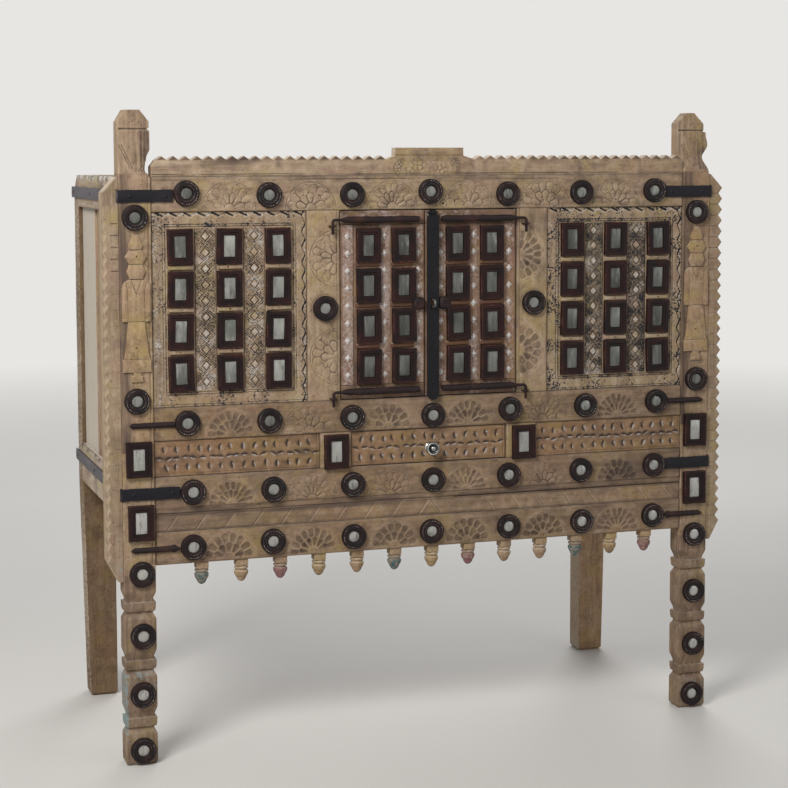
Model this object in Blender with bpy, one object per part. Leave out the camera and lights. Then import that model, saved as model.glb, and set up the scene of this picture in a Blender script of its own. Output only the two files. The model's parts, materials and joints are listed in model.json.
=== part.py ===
"""Damchiya chest: a tall dowry chest on legs, with two small doors, a drawer and a mirrored front.

Metres, +Z up, +X to the right along the front, +Y to the back. The origin is on the floor,
under the middle of the chest's bounding box.
"""
import math

import bmesh
import bpy
from mathutils import Vector

# Clearances
SEAT = 0.0003              # between pieces that touch
DOOR_GAP = 0.002           # round a door leaf
DRAWER_GAP = 0.0015        # round the drawer front
DRAWER_RUN = 0.0005        # drawer sides over their runners
PIN_GAP = 0.0007           # hinge pin in its staple
HASP_GAP = 0.0005          # hasp eye round its staple
IRON_GAP = 0.0015          # iron beside iron on the doors

# Case
WIDTH = 1.430              # across the outer faces of the front posts
CASE_DEPTH = 0.633         # front plane to the back of the rear posts
POST_W = 0.072
POST_D = 0.052
REAR_POST_W = 0.080
REAR_POST_D = 0.062
REAR_POST_INSET = 0.002    # outer face set in from the front posts' outer face
REAR_LEG_TAPER = 0.012     # how far the outer face of a rear leg leans in at the floor
RAIL_T = 0.036
PANEL_T = 0.022
BOARD_T = 0.018
TENON_L = 0.030
TENON_T = 0.014
TENON_SHOULDER = 0.010     # rail height left above and below a tenon

# Heights, stacked from the floor
LEG_H = 0.447
BOTTOM_RAIL_H = 0.073
ZIGZAG_H = 0.041
LOWER_RAIL_H = 0.082
DRAWER_ROW_H = 0.081
MIDDLE_RAIL_H = 0.073
DOOR_ROW_H = 0.431
TOP_RAIL_H = 0.077
FINIAL_H = 0.145
SIDE_BOTTOM_RAIL_H = 0.095
SIDE_RAIL_T = 0.0112
SIDE_BOARD_W = 0.160       # raised boards of a side, from the rear post forwards
SIDE_SUNK_W = 0.050        # sunk board between two raised ones
SIDE_SUNK = 0.008
BACK_PLANKS = 7
GROOVE_W = 0.006
GROOVE_D = 0.004

# Front layout
DOOR_OPENING_W = 0.430
MUNTIN_W = 0.077
DRAWER_OPENING_W = 0.380
DIVIDER_W = 0.074
PANEL_RECESS = 0.004       # panels and carved fronts sit back from the front plane
DOOR_RECESS = 0.002
ZIGZAG_RECESS = 0.003

# Turned front legs and finials
BEAD_FIRST = 0.096
LEG_ROUNDEL_DROP = 0.026   # top leg roundel's centre below the bottom rail
BEAD_COUNT = 3
BEAD_HALF = 0.010
BLOCK_END = 0.024          # bead centre to the end of the next block
PINCH_HALF = 0.0145        # bead centre to the middle of the pinch
PINCH_IN = 0.0095          # how far a pinch is cut in
BEAD_IN = 0.003
FOOT_CHAMFER = 0.006
FINIAL_WAIST_IN = 0.007
FINIAL_TOP_W = 0.032

# Toothed crest and edge strips
CREST_H = 0.036            # rail to the bottom of the teeth
CREST_T = 0.030
CREST_END_DROP = 0.017
CREST_END_W = 0.021
TOOTH_PITCH = 0.026
TOOTH_H = 0.009
CREST_BLOCK_W = 0.164
CREST_BLOCK_H = 0.018
CREST_MOUND_W = 0.022
STRIP_W = 0.034
STRIP_T = 0.014
STRIP_RECESS = 0.002
STRIP_TOOTH_IN = 0.010
STRIP_BOTTOM = 0.415
STRIP_TIP_H = 0.045
STRIP_TIP_W = 0.010
STRIP_CUSP_H = 0.034

# Mirrors in their lacquered frames
ROUNDEL_R = 0.0285
ROUNDEL_GLASS_R = 0.0125
ROUNDEL_OUT = 0.011
ROUNDEL_SIDES = 14
ROUNDEL_EDGE = 0.004       # bevel at a frame's outer and inner edge
GLASS_OUT = 0.005
RAIL_ROUNDELS = 7
RAIL_END_TO_ROUNDEL = 0.076
FOOT_ROUNDEL_Z = 0.034
POST_ROUNDEL_EDGE = 0.014  # roundel centre below or above the door row's ends
FRAME_W = 0.057
FRAME_GAP = 0.0143         # between the frames of one column
LOW_FRAME_GAP = 0.001      # frames beside the drawer row, to the row's edges
FRAME_RIM = 0.016          # frame's edge to its glass
FRAME_OUT = 0.010
PANEL_COLUMNS = 3
DOOR_COLUMNS = 2
MIRROR_ROWS = 4
PANEL_MARGIN = 0.036       # panel edge to the first mirror frame
DOOR_HINGE_MARGIN = 0.034
DOOR_CENTRE_MARGIN = 0.038
FIGURE_OUT = 0.005
FIGURE_HEAD_GAP = 0.0065   # hat below the upper post roundel
FIGURE_FOOT_GAP = 0.0175   # feet above the lower post roundel
STRIP_RELIEF_OUT = 0.004
STRIP_RELIEF_GAP = 0.004
SINK = 0.001               # how far an applied form is let into its carrier

# Pendants under the bottom rail
PENDANTS = 13
PENDANT_PITCH = 0.091
PENDANT_W = 0.032
PENDANT_H = 0.047
PENDANT_SIDES = 8
PENDANT_SET_BACK = 0.018   # front plane to a pendant's centre

# Iron straps and spikes
STRAP_H = 0.027
STRAP_T = 0.003
UPPER_STRAP_RISE = 0.022   # above the top rail's lower edge
LOWER_STRAP_RISE = 0.034   # above the lower rail's lower edge
SPIKE_R = 0.0065
SPIKE_POST_LAP = 0.055

# Doors
LEAF_T = 0.024
MEETING_X = -0.011         # the leaves meet just left of the hasp
MEETING_GAP = 0.0016
MEETING_BEVEL = 0.0025
HINGE_SIDE = 0.021         # hinge axis outside the leaf's edge
HINGE_OUT = 0.010          # hinge axis in front of the front plane
BAR_R = 0.0075
BAR_CENTRE_END = 0.027     # free end of a hinge bar, from the middle of the chest
UPPER_BAR_DROP = 0.022
LOWER_BAR_RISE = 0.019
PIN_R = 0.0035
PIN_L = 0.033
PIN_BEND = 0.006
STAPLE_R = 0.0025
STAPLE_DROP = 0.014

# Hasp and lock
HASP_W = 0.028
HASP_T = 0.005
HASP_EYE_W = 0.013
HASP_EYE_R = 0.006
HASP_PIN_R = 0.0025
HASP_OUT = 0.0075          # hasp axis in front of the front plane
HASP_DROP = 0.007          # hasp axis below the door row's top
HASP_OVERLAP = 0.007       # hasp end below the door row
HASP_LEFT_GAP = 0.002
LOCK_STAPLE_HALF = 0.008
LOCK_STAPLE_R = 0.003
LOCK_STAPLE_OUT = 0.024
LOCK_SLOT_GAP = 0.002
LOCK_PLATE_H = 0.028
LOCK_PLATE_T = 0.003
LOCK_PLATE_CORNER = 0.005

# Drawer
DRAWER_FRONT_T = 0.022
DRAWER_SIDE_T = 0.014
DRAWER_SIDE_H = 0.066
DRAWER_L = 0.420
DRAWER_BOTTOM_T = 0.008
RUNNER_W = 0.040
RUNNER_H = 0.025
BACK_RECESS = 0.022
KNOB_R = 0.013
KNOB_NECK_R = 0.006
KNOB_L = 0.032
KNOB_SIDES = 12

# Places worked out from the sizes
FRONT = -(CASE_DEPTH - KNOB_L + PANEL_RECESS) / 2
REAR = FRONT + CASE_DEPTH
HALF_W = WIDTH / 2
POST_IN = HALF_W - POST_W
POST_X = HALF_W - POST_W / 2
REAR_OUT = HALF_W - REAR_POST_INSET
REAR_IN = REAR_OUT - REAR_POST_W
REAR_FRONT = REAR - REAR_POST_D
RAIL_L = 2 * (POST_IN - SEAT)
Z_ZIGZAG = LEG_H + BOTTOM_RAIL_H
Z_LOWER = Z_ZIGZAG + ZIGZAG_H
Z_DRAWER = Z_LOWER + LOWER_RAIL_H
Z_MIDDLE = Z_DRAWER + DRAWER_ROW_H
Z_DOOR = Z_MIDDLE + MIDDLE_RAIL_H
Z_TOP = Z_DOOR + DOOR_ROW_H
Z_CASE = Z_TOP + TOP_RAIL_H
Z_SIDE = Z_DRAWER - SIDE_BOTTOM_RAIL_H
SIDE_OUT = HALF_W - SIDE_RAIL_T - SEAT
SIDE_IN = SIDE_OUT - BOARD_T
BACK_OUT = REAR - BACK_RECESS
BACK_IN = BACK_OUT - BOARD_T
MUNTIN_IN = DOOR_OPENING_W / 2
MUNTIN_OUT = MUNTIN_IN + MUNTIN_W
DIVIDER_IN = DRAWER_OPENING_W / 2
DIVIDER_OUT = DIVIDER_IN + DIVIDER_W
ROUNDEL_PITCH = (RAIL_L - 2 * RAIL_END_TO_ROUNDEL) / (RAIL_ROUNDELS - 1)
LAST_ROUNDEL_EDGE = RAIL_L / 2 - RAIL_END_TO_ROUNDEL + ROUNDEL_R
LEAF_EDGE = MUNTIN_IN - DOOR_GAP
LEAF_FACE = FRONT + DOOR_RECESS
HINGE_X = LEAF_EDGE + HINGE_SIDE
HINGE_Y = FRONT - HINGE_OUT
UPPER_BAR_Z = Z_TOP - UPPER_BAR_DROP
LOWER_BAR_Z = Z_DOOR + LOWER_BAR_RISE
HASP_X = MEETING_X + HASP_LEFT_GAP + HASP_W / 2
HASP_Y = FRONT - HASP_OUT
HASP_Z = Z_TOP - HASP_DROP
LOCK_Z = (Z_DOOR + Z_TOP) / 2
FRAME_H = (DOOR_ROW_H - 2 * PANEL_MARGIN - (MIRROR_ROWS - 1) * FRAME_GAP) / MIRROR_ROWS
LOW_FRAME_H = DRAWER_ROW_H - 2 * LOW_FRAME_GAP
BEAD_PITCH = (LEG_H - LEG_ROUNDEL_DROP - BEAD_FIRST) / (BEAD_COUNT - 0.5)
LOW_POST_ROUNDEL_Z = Z_DOOR + POST_ROUNDEL_EDGE
HIGH_POST_ROUNDEL_Z = Z_TOP - POST_ROUNDEL_EDGE
FIGURE_Z = LOW_POST_ROUNDEL_Z + ROUNDEL_R + FIGURE_FOOT_GAP
FIGURE_H = HIGH_POST_ROUNDEL_Z - ROUNDEL_R - FIGURE_HEAD_GAP - FIGURE_Z
UPPER_STRAP_Z = Z_TOP + UPPER_STRAP_RISE
LOWER_STRAP_Z = Z_LOWER + LOWER_STRAP_RISE
SIDES = (("left", -1), ("right", 1))

for leftover in list(bpy.data.objects):
    bpy.data.objects.remove(leftover)


def material(name, colour, roughness, metallic=0.0):
    """One Principled material for a sub-part."""
    made = bpy.data.materials.new(name)
    made.use_nodes = True
    shader = made.node_tree.nodes["Principled BSDF"]
    shader.inputs["Base Color"].default_value = (*colour, 1.0)
    shader.inputs["Roughness"].default_value = roughness
    shader.inputs["Metallic"].default_value = metallic
    made.diffuse_color = (*colour, 1.0)
    return made


HONEY = (0.45, 0.32, 0.20)
PALE = (0.52, 0.40, 0.27)
ORANGE = (0.50, 0.31, 0.16)
INSIDE = (0.40, 0.30, 0.20)
IRON = (0.03, 0.03, 0.04)
BRIGHT = (0.60, 0.60, 0.58)


def place(name, bm, colour, roughness=0.7, metallic=0.0):
    """Turn a bmesh into a named object with its own material."""
    bmesh.ops.recalc_face_normals(bm, faces=bm.faces[:])
    mesh = bpy.data.meshes.new(name)
    bm.to_mesh(mesh)
    bm.free()
    made = bpy.data.objects.new(name, mesh)
    bpy.context.collection.objects.link(made)
    mesh.materials.append(material(name, colour, roughness, metallic))
    return made


def stack(bm, loops):
    """Grow a closed solid from a first outline through further ones of as many points."""
    slot = bm.verts.layers.int.get("slot") or bm.verts.layers.int.new("slot")
    corners = [bm.verts.new(point) for point in loops[0]]
    for number, corner in enumerate(corners):
        corner[slot] = number
    face = first = bm.faces.new(corners)
    for loop in loops[1:]:
        grown = bmesh.ops.extrude_face_region(bm, geom=[face])["geom"]
        if face is not first:
            bm.faces.remove(face)
        face = next(item for item in grown if isinstance(item, bmesh.types.BMFace))
        for corner in face.verts:
            corner.co = loop[corner[slot]]


def prism(bm, outline, axis, start, end):
    """Push a flat outline along an axis; its two numbers are the other axes in X, Y, Z order."""
    def lift(along):
        points = []
        for first, second in outline:
            point = [first, second]
            point.insert("XYZ".index(axis), along)
            points.append(Vector(point))
        return points
    stack(bm, [lift(start), lift(end)])


def rectangle(x0, x1, y0, y1):
    return [(x0, y0), (x1, y0), (x1, y1), (x0, y1)]


def block(bm, x0, x1, y0, y1, z0, z1):
    """A sawn board or batten."""
    prism(bm, rectangle(x0, x1, y0, y1), "Z", z0, z1)


def board(name, colour, *sizes):
    bm = bmesh.new()
    block(bm, *sizes)
    return place(name, bm, colour)


def ordered(side, near, far):
    """A left or right pair of X values in rising order."""
    return sorted((side * near, side * far))


def hide(helper):
    helper.hide_render = True
    helper.display_type = "WIRE"
    return helper


def combine(target, helper, operation):
    """Join a helper form to a piece, or cut it out."""
    made = target.modifiers.new(helper.name, "BOOLEAN")
    made.operation = operation
    made.solver = "EXACT"
    made.object = hide(helper)


def wire(name, points, radii, depth, colour, roughness=0.5, metallic=0.8):
    """A forged bar or wire along a route, with a radius factor at each point."""
    curve = bpy.data.curves.new(name, "CURVE")
    curve.dimensions = "3D"
    curve.bevel_depth = depth
    curve.bevel_resolution = 2
    curve.use_fill_caps = True
    spline = curve.splines.new("POLY")
    spline.points.add(len(points) - 1)
    for point, place_on_route, radius in zip(spline.points, points, radii):
        point.co = (*place_on_route, 1.0)
        point.radius = radius
    made = bpy.data.objects.new(name, curve)
    bpy.context.collection.objects.link(made)
    curve.materials.append(material(name, colour, roughness, metallic))
    return made


def circle(x, z, radius, y, sides):
    turn = 2 * math.pi / sides
    return [(x + radius * math.cos(turn * (i + 0.5)), y, z + radius * math.sin(turn * (i + 0.5)))
            for i in range(sides)]


def roundel(bm, x, z, face):
    """A round mirror in its turned ring, let into a face that looks along -Y."""
    rings = [(ROUNDEL_R, face + SINK),
             (ROUNDEL_R, face - ROUNDEL_OUT + ROUNDEL_EDGE),
             (ROUNDEL_R - ROUNDEL_EDGE, face - ROUNDEL_OUT),
             (ROUNDEL_GLASS_R + ROUNDEL_EDGE / 2, face - ROUNDEL_OUT),
             (ROUNDEL_GLASS_R, face - GLASS_OUT)]
    stack(bm, [circle(x, z, radius, y, ROUNDEL_SIDES) for radius, y in rings])


def frame(bm, x, z, face, tall):
    """A small upright mirror in its bevelled frame."""
    half_w = FRAME_W / 2
    half_h = tall / 2
    steps = [(0.0, face + SINK), (0.0, face - FRAME_OUT + ROUNDEL_EDGE), (ROUNDEL_EDGE, face - FRAME_OUT),
             (FRAME_RIM, face - FRAME_OUT), (FRAME_RIM, face - GLASS_OUT)]
    stack(bm, [[(px, y, pz) for px, pz in rectangle(x - half_w + cut, x + half_w - cut,
                                                    z - half_h + cut, z + half_h - cut)]
               for cut, y in steps])


def spaced(low, high, count):
    """Evenly spaced values from low to high."""
    return [low + (high - low) * i / (count - 1) for i in range(count)]


def helper(name, bm):
    return place(name, bm, HONEY)


def post_section(z, cut_in):
    """The corners of a front post at a height, with its faces cut in alike."""
    half_w = POST_W / 2 - cut_in
    half_d = POST_D / 2 - cut_in
    centre = FRONT + POST_D / 2
    return [(x, y, z) for x, y in rectangle(-half_w, half_w, centre - half_d, centre + half_d)]


def finial_section(z, half_w):
    """The finial is sawn from the front, so its depth stays the post's."""
    return [(x, y, z) for x, y in rectangle(-half_w, half_w, FRONT, FRONT + POST_D)]


def leg_sections():
    """Foot, then blocks parted by pinched beads, up to the plain post."""
    sections = [post_section(0.0, FOOT_CHAMFER), post_section(FOOT_CHAMFER, 0.0)]
    for number in range(BEAD_COUNT):
        middle = BEAD_FIRST + BEAD_PITCH * number
        for offset, cut_in in ((-BLOCK_END, 0.0), (-PINCH_HALF, PINCH_IN), (-BEAD_HALF, BEAD_IN),
                               (BEAD_HALF, BEAD_IN), (PINCH_HALF, PINCH_IN), (BLOCK_END, 0.0)):
            sections.append(post_section(middle + offset, cut_in))
    return sections


def finial_sections():
    """Neck, swelling body, a grooved brow and a hipped head, as shares of the finial's height."""
    full = POST_W / 2
    steps = [(0.08, 0.0), (0.32, FINIAL_WAIST_IN), (0.55, 0.001), (0.71, 0.0), (0.725, 0.003),
             (0.74, 0.0), (0.83, 0.0)]
    sections = [finial_section(Z_CASE + FINIAL_H * share, full - cut_in) for share, cut_in in steps]
    sections.append(finial_section(Z_CASE + FINIAL_H, FINIAL_TOP_W / 2))
    return sections


def figure_outline(x):
    """A traditional standing figure: hat, head, collar, coat with arms, skirt, hem and feet."""
    steps = [(0.0, 0.010), (0.07, 0.010), (0.07, 0.030), (0.15, 0.030), (0.155, 0.026), (0.395, 0.019),
             (0.41, 0.029), (0.66, 0.030), (0.69, 0.024), (0.70, 0.014), (0.75, 0.022), (0.79, 0.016),
             (0.80, 0.016), (0.85, 0.025), (0.89, 0.016), (0.90, 0.013), (0.94, 0.015), (1.0, 0.006)]
    right = [(x + half, FIGURE_Z + FIGURE_H * share) for share, half in steps]
    left = [(x - half, FIGURE_Z + FIGURE_H * share) for share, half in reversed(steps)]
    return right + left


def tenon_heights():
    """Lower edge and height of each rail that is tenoned into the posts."""
    return ((LEG_H, BOTTOM_RAIL_H), (Z_LOWER, LOWER_RAIL_H), (Z_MIDDLE, MIDDLE_RAIL_H), (Z_TOP, TOP_RAIL_H))


def front_posts():
    """The front posts run from floor to finial, mortised for the rails."""
    for label, side in SIDES:
        bm = bmesh.new()
        stack(bm, leg_sections() + finial_sections())
        bmesh.ops.translate(bm, vec=(side * POST_X, 0, 0), verts=bm.verts[:])
        post = place(f"front_post_{label}", bm, HONEY)

        bm = bmesh.new()
        x0, x1 = ordered(side, POST_IN - POST_W / 2, POST_IN + TENON_L)
        middle = FRONT + RAIL_T / 2
        half = TENON_T / 2 + SEAT
        for low, tall in tenon_heights():
            block(bm, x0, x1, middle - half, middle + half,
                  low + TENON_SHOULDER - SEAT, low + tall - TENON_SHOULDER + SEAT)
        combine(post, helper(f"mortises_{label}", bm), "DIFFERENCE")

        bm = bmesh.new()
        x = side * POST_X
        heights = [FOOT_ROUNDEL_Z]
        heights += [BEAD_FIRST + BEAD_PITCH * (i + 0.5) for i in range(BEAD_COUNT)]
        heights += [LOW_POST_ROUNDEL_Z, HIGH_POST_ROUNDEL_Z]
        for z in heights:
            roundel(bm, x, z, FRONT)
        for z in (Z_ZIGZAG + ZIGZAG_H / 2, Z_DRAWER + DRAWER_ROW_H / 2):
            frame(bm, x, z, FRONT, LOW_FRAME_H)
        prism(bm, figure_outline(x), "Y", FRONT - FIGURE_OUT, FRONT + SINK)
        combine(post, helper(f"post_trim_{label}", bm), "UNION")


def rear_section(side, z, lean, inset):
    """The corners of a rear post at a height, with its outer face leaning in."""
    x0, x1 = ordered(side, REAR_IN + inset, REAR_OUT - lean - inset)
    return [(x, y, z) for x, y in rectangle(x0, x1, REAR_FRONT + inset, REAR - inset)]


def rear_posts():
    """Squared rear posts whose outer faces lean in below the case."""
    chamfer = FOOT_CHAMFER
    for label, side in SIDES:
        bm = bmesh.new()
        stack(bm, [rear_section(side, 0.0, REAR_LEG_TAPER, chamfer),
                   rear_section(side, chamfer, REAR_LEG_TAPER, 0.0),
                   rear_section(side, Z_SIDE, 0.0, 0.0), rear_section(side, Z_CASE, 0.0, 0.0)])
        place(f"rear_post_{label}", bm, PALE)


def rail(name, low, tall, colour=HONEY):
    """A front rail with a tenon at each end."""
    middle = FRONT + RAIL_T / 2

    def section(x, half_t, cut):
        return [(x, middle - half_t, low + cut), (x, middle + half_t, low + cut),
                (x, middle + half_t, low + tall - cut), (x, middle - half_t, low + tall - cut)]
    bm = bmesh.new()
    half = RAIL_L / 2
    end = half + TENON_L - SEAT
    stack(bm, [section(-end, TENON_T / 2, TENON_SHOULDER), section(-half, TENON_T / 2, TENON_SHOULDER),
               section(-half, RAIL_T / 2, SEAT), section(half, RAIL_T / 2, SEAT),
               section(half, TENON_T / 2, TENON_SHOULDER), section(end, TENON_T / 2, TENON_SHOULDER)])
    made = place(name, bm, colour)
    bm = bmesh.new()
    for number in range(RAIL_ROUNDELS):
        roundel(bm, ROUNDEL_PITCH * (number - (RAIL_ROUNDELS - 1) / 2), low + tall / 2, FRONT)
    combine(made, helper(f"{name}_roundels", bm), "UNION")
    return made


def pendant(bm, x):
    """A turned drop: square neck, groove, cup and point."""
    low = LEG_H - PENDANT_H
    half = PENDANT_W / 2
    steps = [(LEG_H + SINK, 0.86), (low + PENDANT_H * 0.62, 0.86), (low + PENDANT_H * 0.55, 0.70),
             (low + PENDANT_H * 0.46, 1.0), (low + PENDANT_H * 0.24, 0.94), (low, 0.28)]
    turn = 2 * math.pi / PENDANT_SIDES
    y = FRONT + PENDANT_SET_BACK
    stack(bm, [[(x + half * share * math.cos(turn * (i + 0.5)),
                 y + half * share * math.sin(turn * (i + 0.5)), z)
                for i in range(PENDANT_SIDES)] for z, share in steps])


def front_rails():
    rail("top_rail", Z_TOP, TOP_RAIL_H)
    rail("middle_rail", Z_MIDDLE, MIDDLE_RAIL_H)
    rail("lower_rail", Z_LOWER, LOWER_RAIL_H)
    bottom = rail("bottom_rail", LEG_H, BOTTOM_RAIL_H)
    bm = bmesh.new()
    for number in range(PENDANTS):
        pendant(bm, PENDANT_PITCH * (number - (PENDANTS - 1) / 2))
    combine(bottom, helper("pendants", bm), "UNION")
    board("zigzag_board", HONEY, -RAIL_L / 2, RAIL_L / 2, FRONT + ZIGZAG_RECESS,
          FRONT + ZIGZAG_RECESS + PANEL_T, Z_ZIGZAG + SEAT, Z_LOWER - SEAT)


def toothed(start, end, low):
    """Teeth from one X to another over a base height, without the last point."""
    count = max(1, round(abs(end - start) / TOOTH_PITCH))
    points = []
    for number in range(count):
        points.append((start + (end - start) * number / count, low))
        points.append((start + (end - start) * (number + 0.5) / count, low + TOOTH_H))
    return points


def crest_rail():
    """The toothed crest between the finials, with its raised block."""
    low = Z_CASE + SEAT
    valley = Z_CASE + CREST_H
    half = POST_IN - SEAT
    shoulder = CREST_BLOCK_W / 2
    mound = shoulder + CREST_MOUND_W
    left = [(-half, low), (-half, valley - CREST_END_DROP)]
    left += toothed(-half + CREST_END_W, -mound, valley)
    left += [(-mound, valley), (-shoulder, valley + TOOTH_H),
             (-shoulder, valley + TOOTH_H + CREST_BLOCK_H)]
    right = [(-x, z) for x, z in reversed(left)]
    bm = bmesh.new()
    prism(bm, left + right, "Y", FRONT, FRONT + CREST_T)
    place("crest_rail", bm, HONEY)


def muntins_and_dividers():
    back = FRONT + RAIL_T
    for label, side in SIDES:
        x0, x1 = ordered(side, MUNTIN_IN, MUNTIN_OUT - SEAT)
        muntin = board(f"muntin_{label}", HONEY, x0, x1, FRONT, back, Z_DOOR + SEAT, Z_TOP - SEAT)
        bm = bmesh.new()
        roundel(bm, (x0 + x1) / 2, (Z_DOOR + Z_TOP) / 2, FRONT)
        combine(muntin, helper(f"muntin_roundel_{label}", bm), "UNION")

        x0, x1 = ordered(side, DIVIDER_IN, DIVIDER_OUT - SEAT)
        divider = board(f"divider_{label}", HONEY, x0, x1, FRONT, back, Z_DRAWER + SEAT, Z_MIDDLE - SEAT)
        bm = bmesh.new()
        frame(bm, (x0 + x1) / 2, (Z_DRAWER + Z_MIDDLE) / 2, FRONT, LOW_FRAME_H)
        combine(divider, helper(f"divider_frame_{label}", bm), "UNION")

        x0, x1 = ordered(side, DIVIDER_OUT, POST_IN - SEAT)
        board(f"carved_panel_{label}", ORANGE, x0, x1, FRONT + PANEL_RECESS, FRONT + PANEL_RECESS + PANEL_T,
              Z_DRAWER + SEAT, Z_MIDDLE - SEAT)


def mirror_rows():
    half = FRAME_H / 2
    return spaced(Z_DOOR + PANEL_MARGIN + half, Z_TOP - PANEL_MARGIN - half, MIRROR_ROWS)


def mirror_panels():
    """The fixed mirrored panels beside the doors, with carved strips between their columns."""
    face = FRONT + PANEL_RECESS
    for label, side in SIDES:
        x0, x1 = ordered(side, MUNTIN_OUT, POST_IN - SEAT)
        panel = board(f"mirror_panel_{label}", PALE, x0, x1, face, face + PANEL_T,
                      Z_DOOR + SEAT, Z_TOP - SEAT)
        columns = spaced(x0 + PANEL_MARGIN + FRAME_W / 2, x1 - PANEL_MARGIN - FRAME_W / 2, PANEL_COLUMNS)
        bm = bmesh.new()
        for x in columns:
            for z in mirror_rows():
                frame(bm, x, z, face, FRAME_H)
        for before, after in zip(columns, columns[1:]):
            block(bm, before + FRAME_W / 2 + STRIP_RELIEF_GAP, after - FRAME_W / 2 - STRIP_RELIEF_GAP,
                  face - STRIP_RELIEF_OUT, face + SINK, Z_DOOR + PANEL_MARGIN, Z_TOP - PANEL_MARGIN)
        combine(panel, helper(f"panel_mirrors_{label}", bm), "UNION")


def strip_outline():
    """A right-hand edge strip seen from the front: teeth outside, notches for the straps inside."""
    inner = HALF_W + SEAT
    outer = HALF_W + STRIP_W
    notch = HALF_W + SEAT + STRAP_T + 2 * SEAT
    top = Z_CASE
    points = [(inner, STRIP_BOTTOM)]
    for low in (LOWER_STRAP_Z, UPPER_STRAP_Z):
        points += [(inner, low - SEAT), (notch, low - SEAT),
                   (notch, low + STRAP_H + SEAT), (inner, low + STRAP_H + SEAT)]
    points += [(inner, top), (outer, top - STRIP_CUSP_H)]
    start = top - STRIP_CUSP_H
    end = STRIP_BOTTOM + STRIP_TIP_H
    count = max(1, round((start - end) / TOOTH_PITCH))
    for number in range(count):
        points.append((outer - STRIP_TOOTH_IN, start + (end - start) * (number + 0.5) / count))
        points.append((outer, start + (end - start) * (number + 1) / count))
    points.append((inner + STRIP_TIP_W, STRIP_BOTTOM))
    return points


def edge_strips():
    for label, side in SIDES:
        bm = bmesh.new()
        outline = [(side * x, z) for x, z in strip_outline()]
        prism(bm, outline, "Y", FRONT + STRIP_RECESS, FRONT + STRIP_RECESS + STRIP_T)
        place(f"edge_strip_{label}", bm, PALE)


def planked(start, end, outer, inner, planks):
    """A plan outline of boards side by side: V grooves on the outer line, plain inside."""
    inward = math.copysign(GROOVE_D, inner - outer)
    points = [(start, inner), (start, outer)]
    for number in range(1, planks):
        joint = start + (end - start) * number / planks
        points += [(joint - GROOVE_W / 2, outer), (joint, outer + inward), (joint + GROOVE_W / 2, outer)]
    return points + [(end, outer), (end, inner)]


def side_outline(front, rear):
    """Plan of a right-hand side: raised boards from the rear forwards, parted by sunk ones."""
    points = [(SIDE_IN, rear), (SIDE_OUT, rear)]
    y = rear
    while y - SIDE_BOARD_W - SIDE_SUNK_W > front:
        y -= SIDE_BOARD_W
        points += [(SIDE_OUT, y), (SIDE_OUT - SIDE_SUNK, y)]
        y -= SIDE_SUNK_W
        points += [(SIDE_OUT - SIDE_SUNK, y), (SIDE_OUT, y)]
    return points + [(SIDE_OUT, front), (SIDE_IN, front)]


def sides_and_back():
    """Boarded sides under their rails, and a plank back."""
    y0 = FRONT + POST_D + SEAT
    y1 = REAR_FRONT - SEAT
    for label, side in SIDES:
        bm = bmesh.new()
        prism(bm, [(side * x, y) for x, y in side_outline(y0, y1)], "Z", Z_SIDE, Z_CASE - SEAT)
        place(f"side_panel_{label}", bm, PALE)
        x0, x1 = ordered(side, HALF_W - SIDE_RAIL_T, HALF_W)
        for name, low, high in (("top", Z_TOP, Z_CASE), ("bottom", Z_SIDE, Z_DRAWER)):
            board(f"side_{name}_rail_{label}", HONEY, x0, x1, y0, y1, low, high)
    bm = bmesh.new()
    half = REAR_IN - SEAT
    prism(bm, planked(-half, half, BACK_OUT, BACK_IN, BACK_PLANKS), "Z", Z_SIDE, Z_CASE - SEAT)
    place("back_panel", bm, INSIDE)


def case_outline():
    """Plan of a board that fills the case, notched round the four posts."""
    half = SIDE_IN - SEAT
    front = FRONT + RAIL_T + SEAT
    right = [(POST_IN - SEAT, front), (POST_IN - SEAT, FRONT + POST_D + SEAT), (half, FRONT + POST_D + SEAT),
             (half, REAR_FRONT - SEAT), (REAR_IN - SEAT, REAR_FRONT - SEAT), (REAR_IN - SEAT, BACK_IN - SEAT)]
    return right + [(-x, y) for x, y in reversed(right)]


def case_boards():
    for name, top in (("top_board", Z_CASE), ("shelf_board", Z_DOOR), ("bottom_board", Z_SIDE + BOARD_T)):
        bm = bmesh.new()
        prism(bm, case_outline(), "Z", top - BOARD_T, top)
        place(name, bm, INSIDE)
    for label, side in SIDES:
        x0, x1 = ordered(side, DIVIDER_IN - RUNNER_W, DIVIDER_IN)
        board(f"drawer_runner_{label}", INSIDE, x0, x1, FRONT + RAIL_T + SEAT, BACK_IN - SEAT,
              Z_DRAWER - RUNNER_H, Z_DRAWER)


def straps_and_spikes():
    """Iron corner straps that wrap from the front round the sides, and forged spikes."""
    inner = LAST_ROUNDEL_EDGE + IRON_GAP
    face = FRONT - SEAT
    outer = HALF_W + SEAT
    outline = [(inner, face), (outer, face), (outer, REAR), (outer + STRAP_T, REAR),
               (outer + STRAP_T, face - STRAP_T), (inner, face - STRAP_T)]
    for label, side in SIDES:
        for level, low in (("upper", UPPER_STRAP_Z), ("lower", LOWER_STRAP_Z)):
            bm = bmesh.new()
            prism(bm, [(side * x, y) for x, y in outline], "Z", low, low + STRAP_H)
            place(f"corner_strap_{level}_{label}", bm, IRON, 0.5, 0.8)
        for level, z in (("middle", Z_MIDDLE + MIDDLE_RAIL_H / 2), ("bottom", LEG_H + BOTTOM_RAIL_H / 2)):
            y = FRONT - SEAT - SPIKE_R
            tip = POST_IN + SPIKE_POST_LAP
            route = [(side * x, y, z) for x in (inner, tip - 4 * SPIKE_R, tip - SPIKE_R, tip)]
            wire(f"spike_{level}_{label}", route, (1.0, 0.85, 0.7, 0.3), SPIKE_R, IRON)


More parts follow.
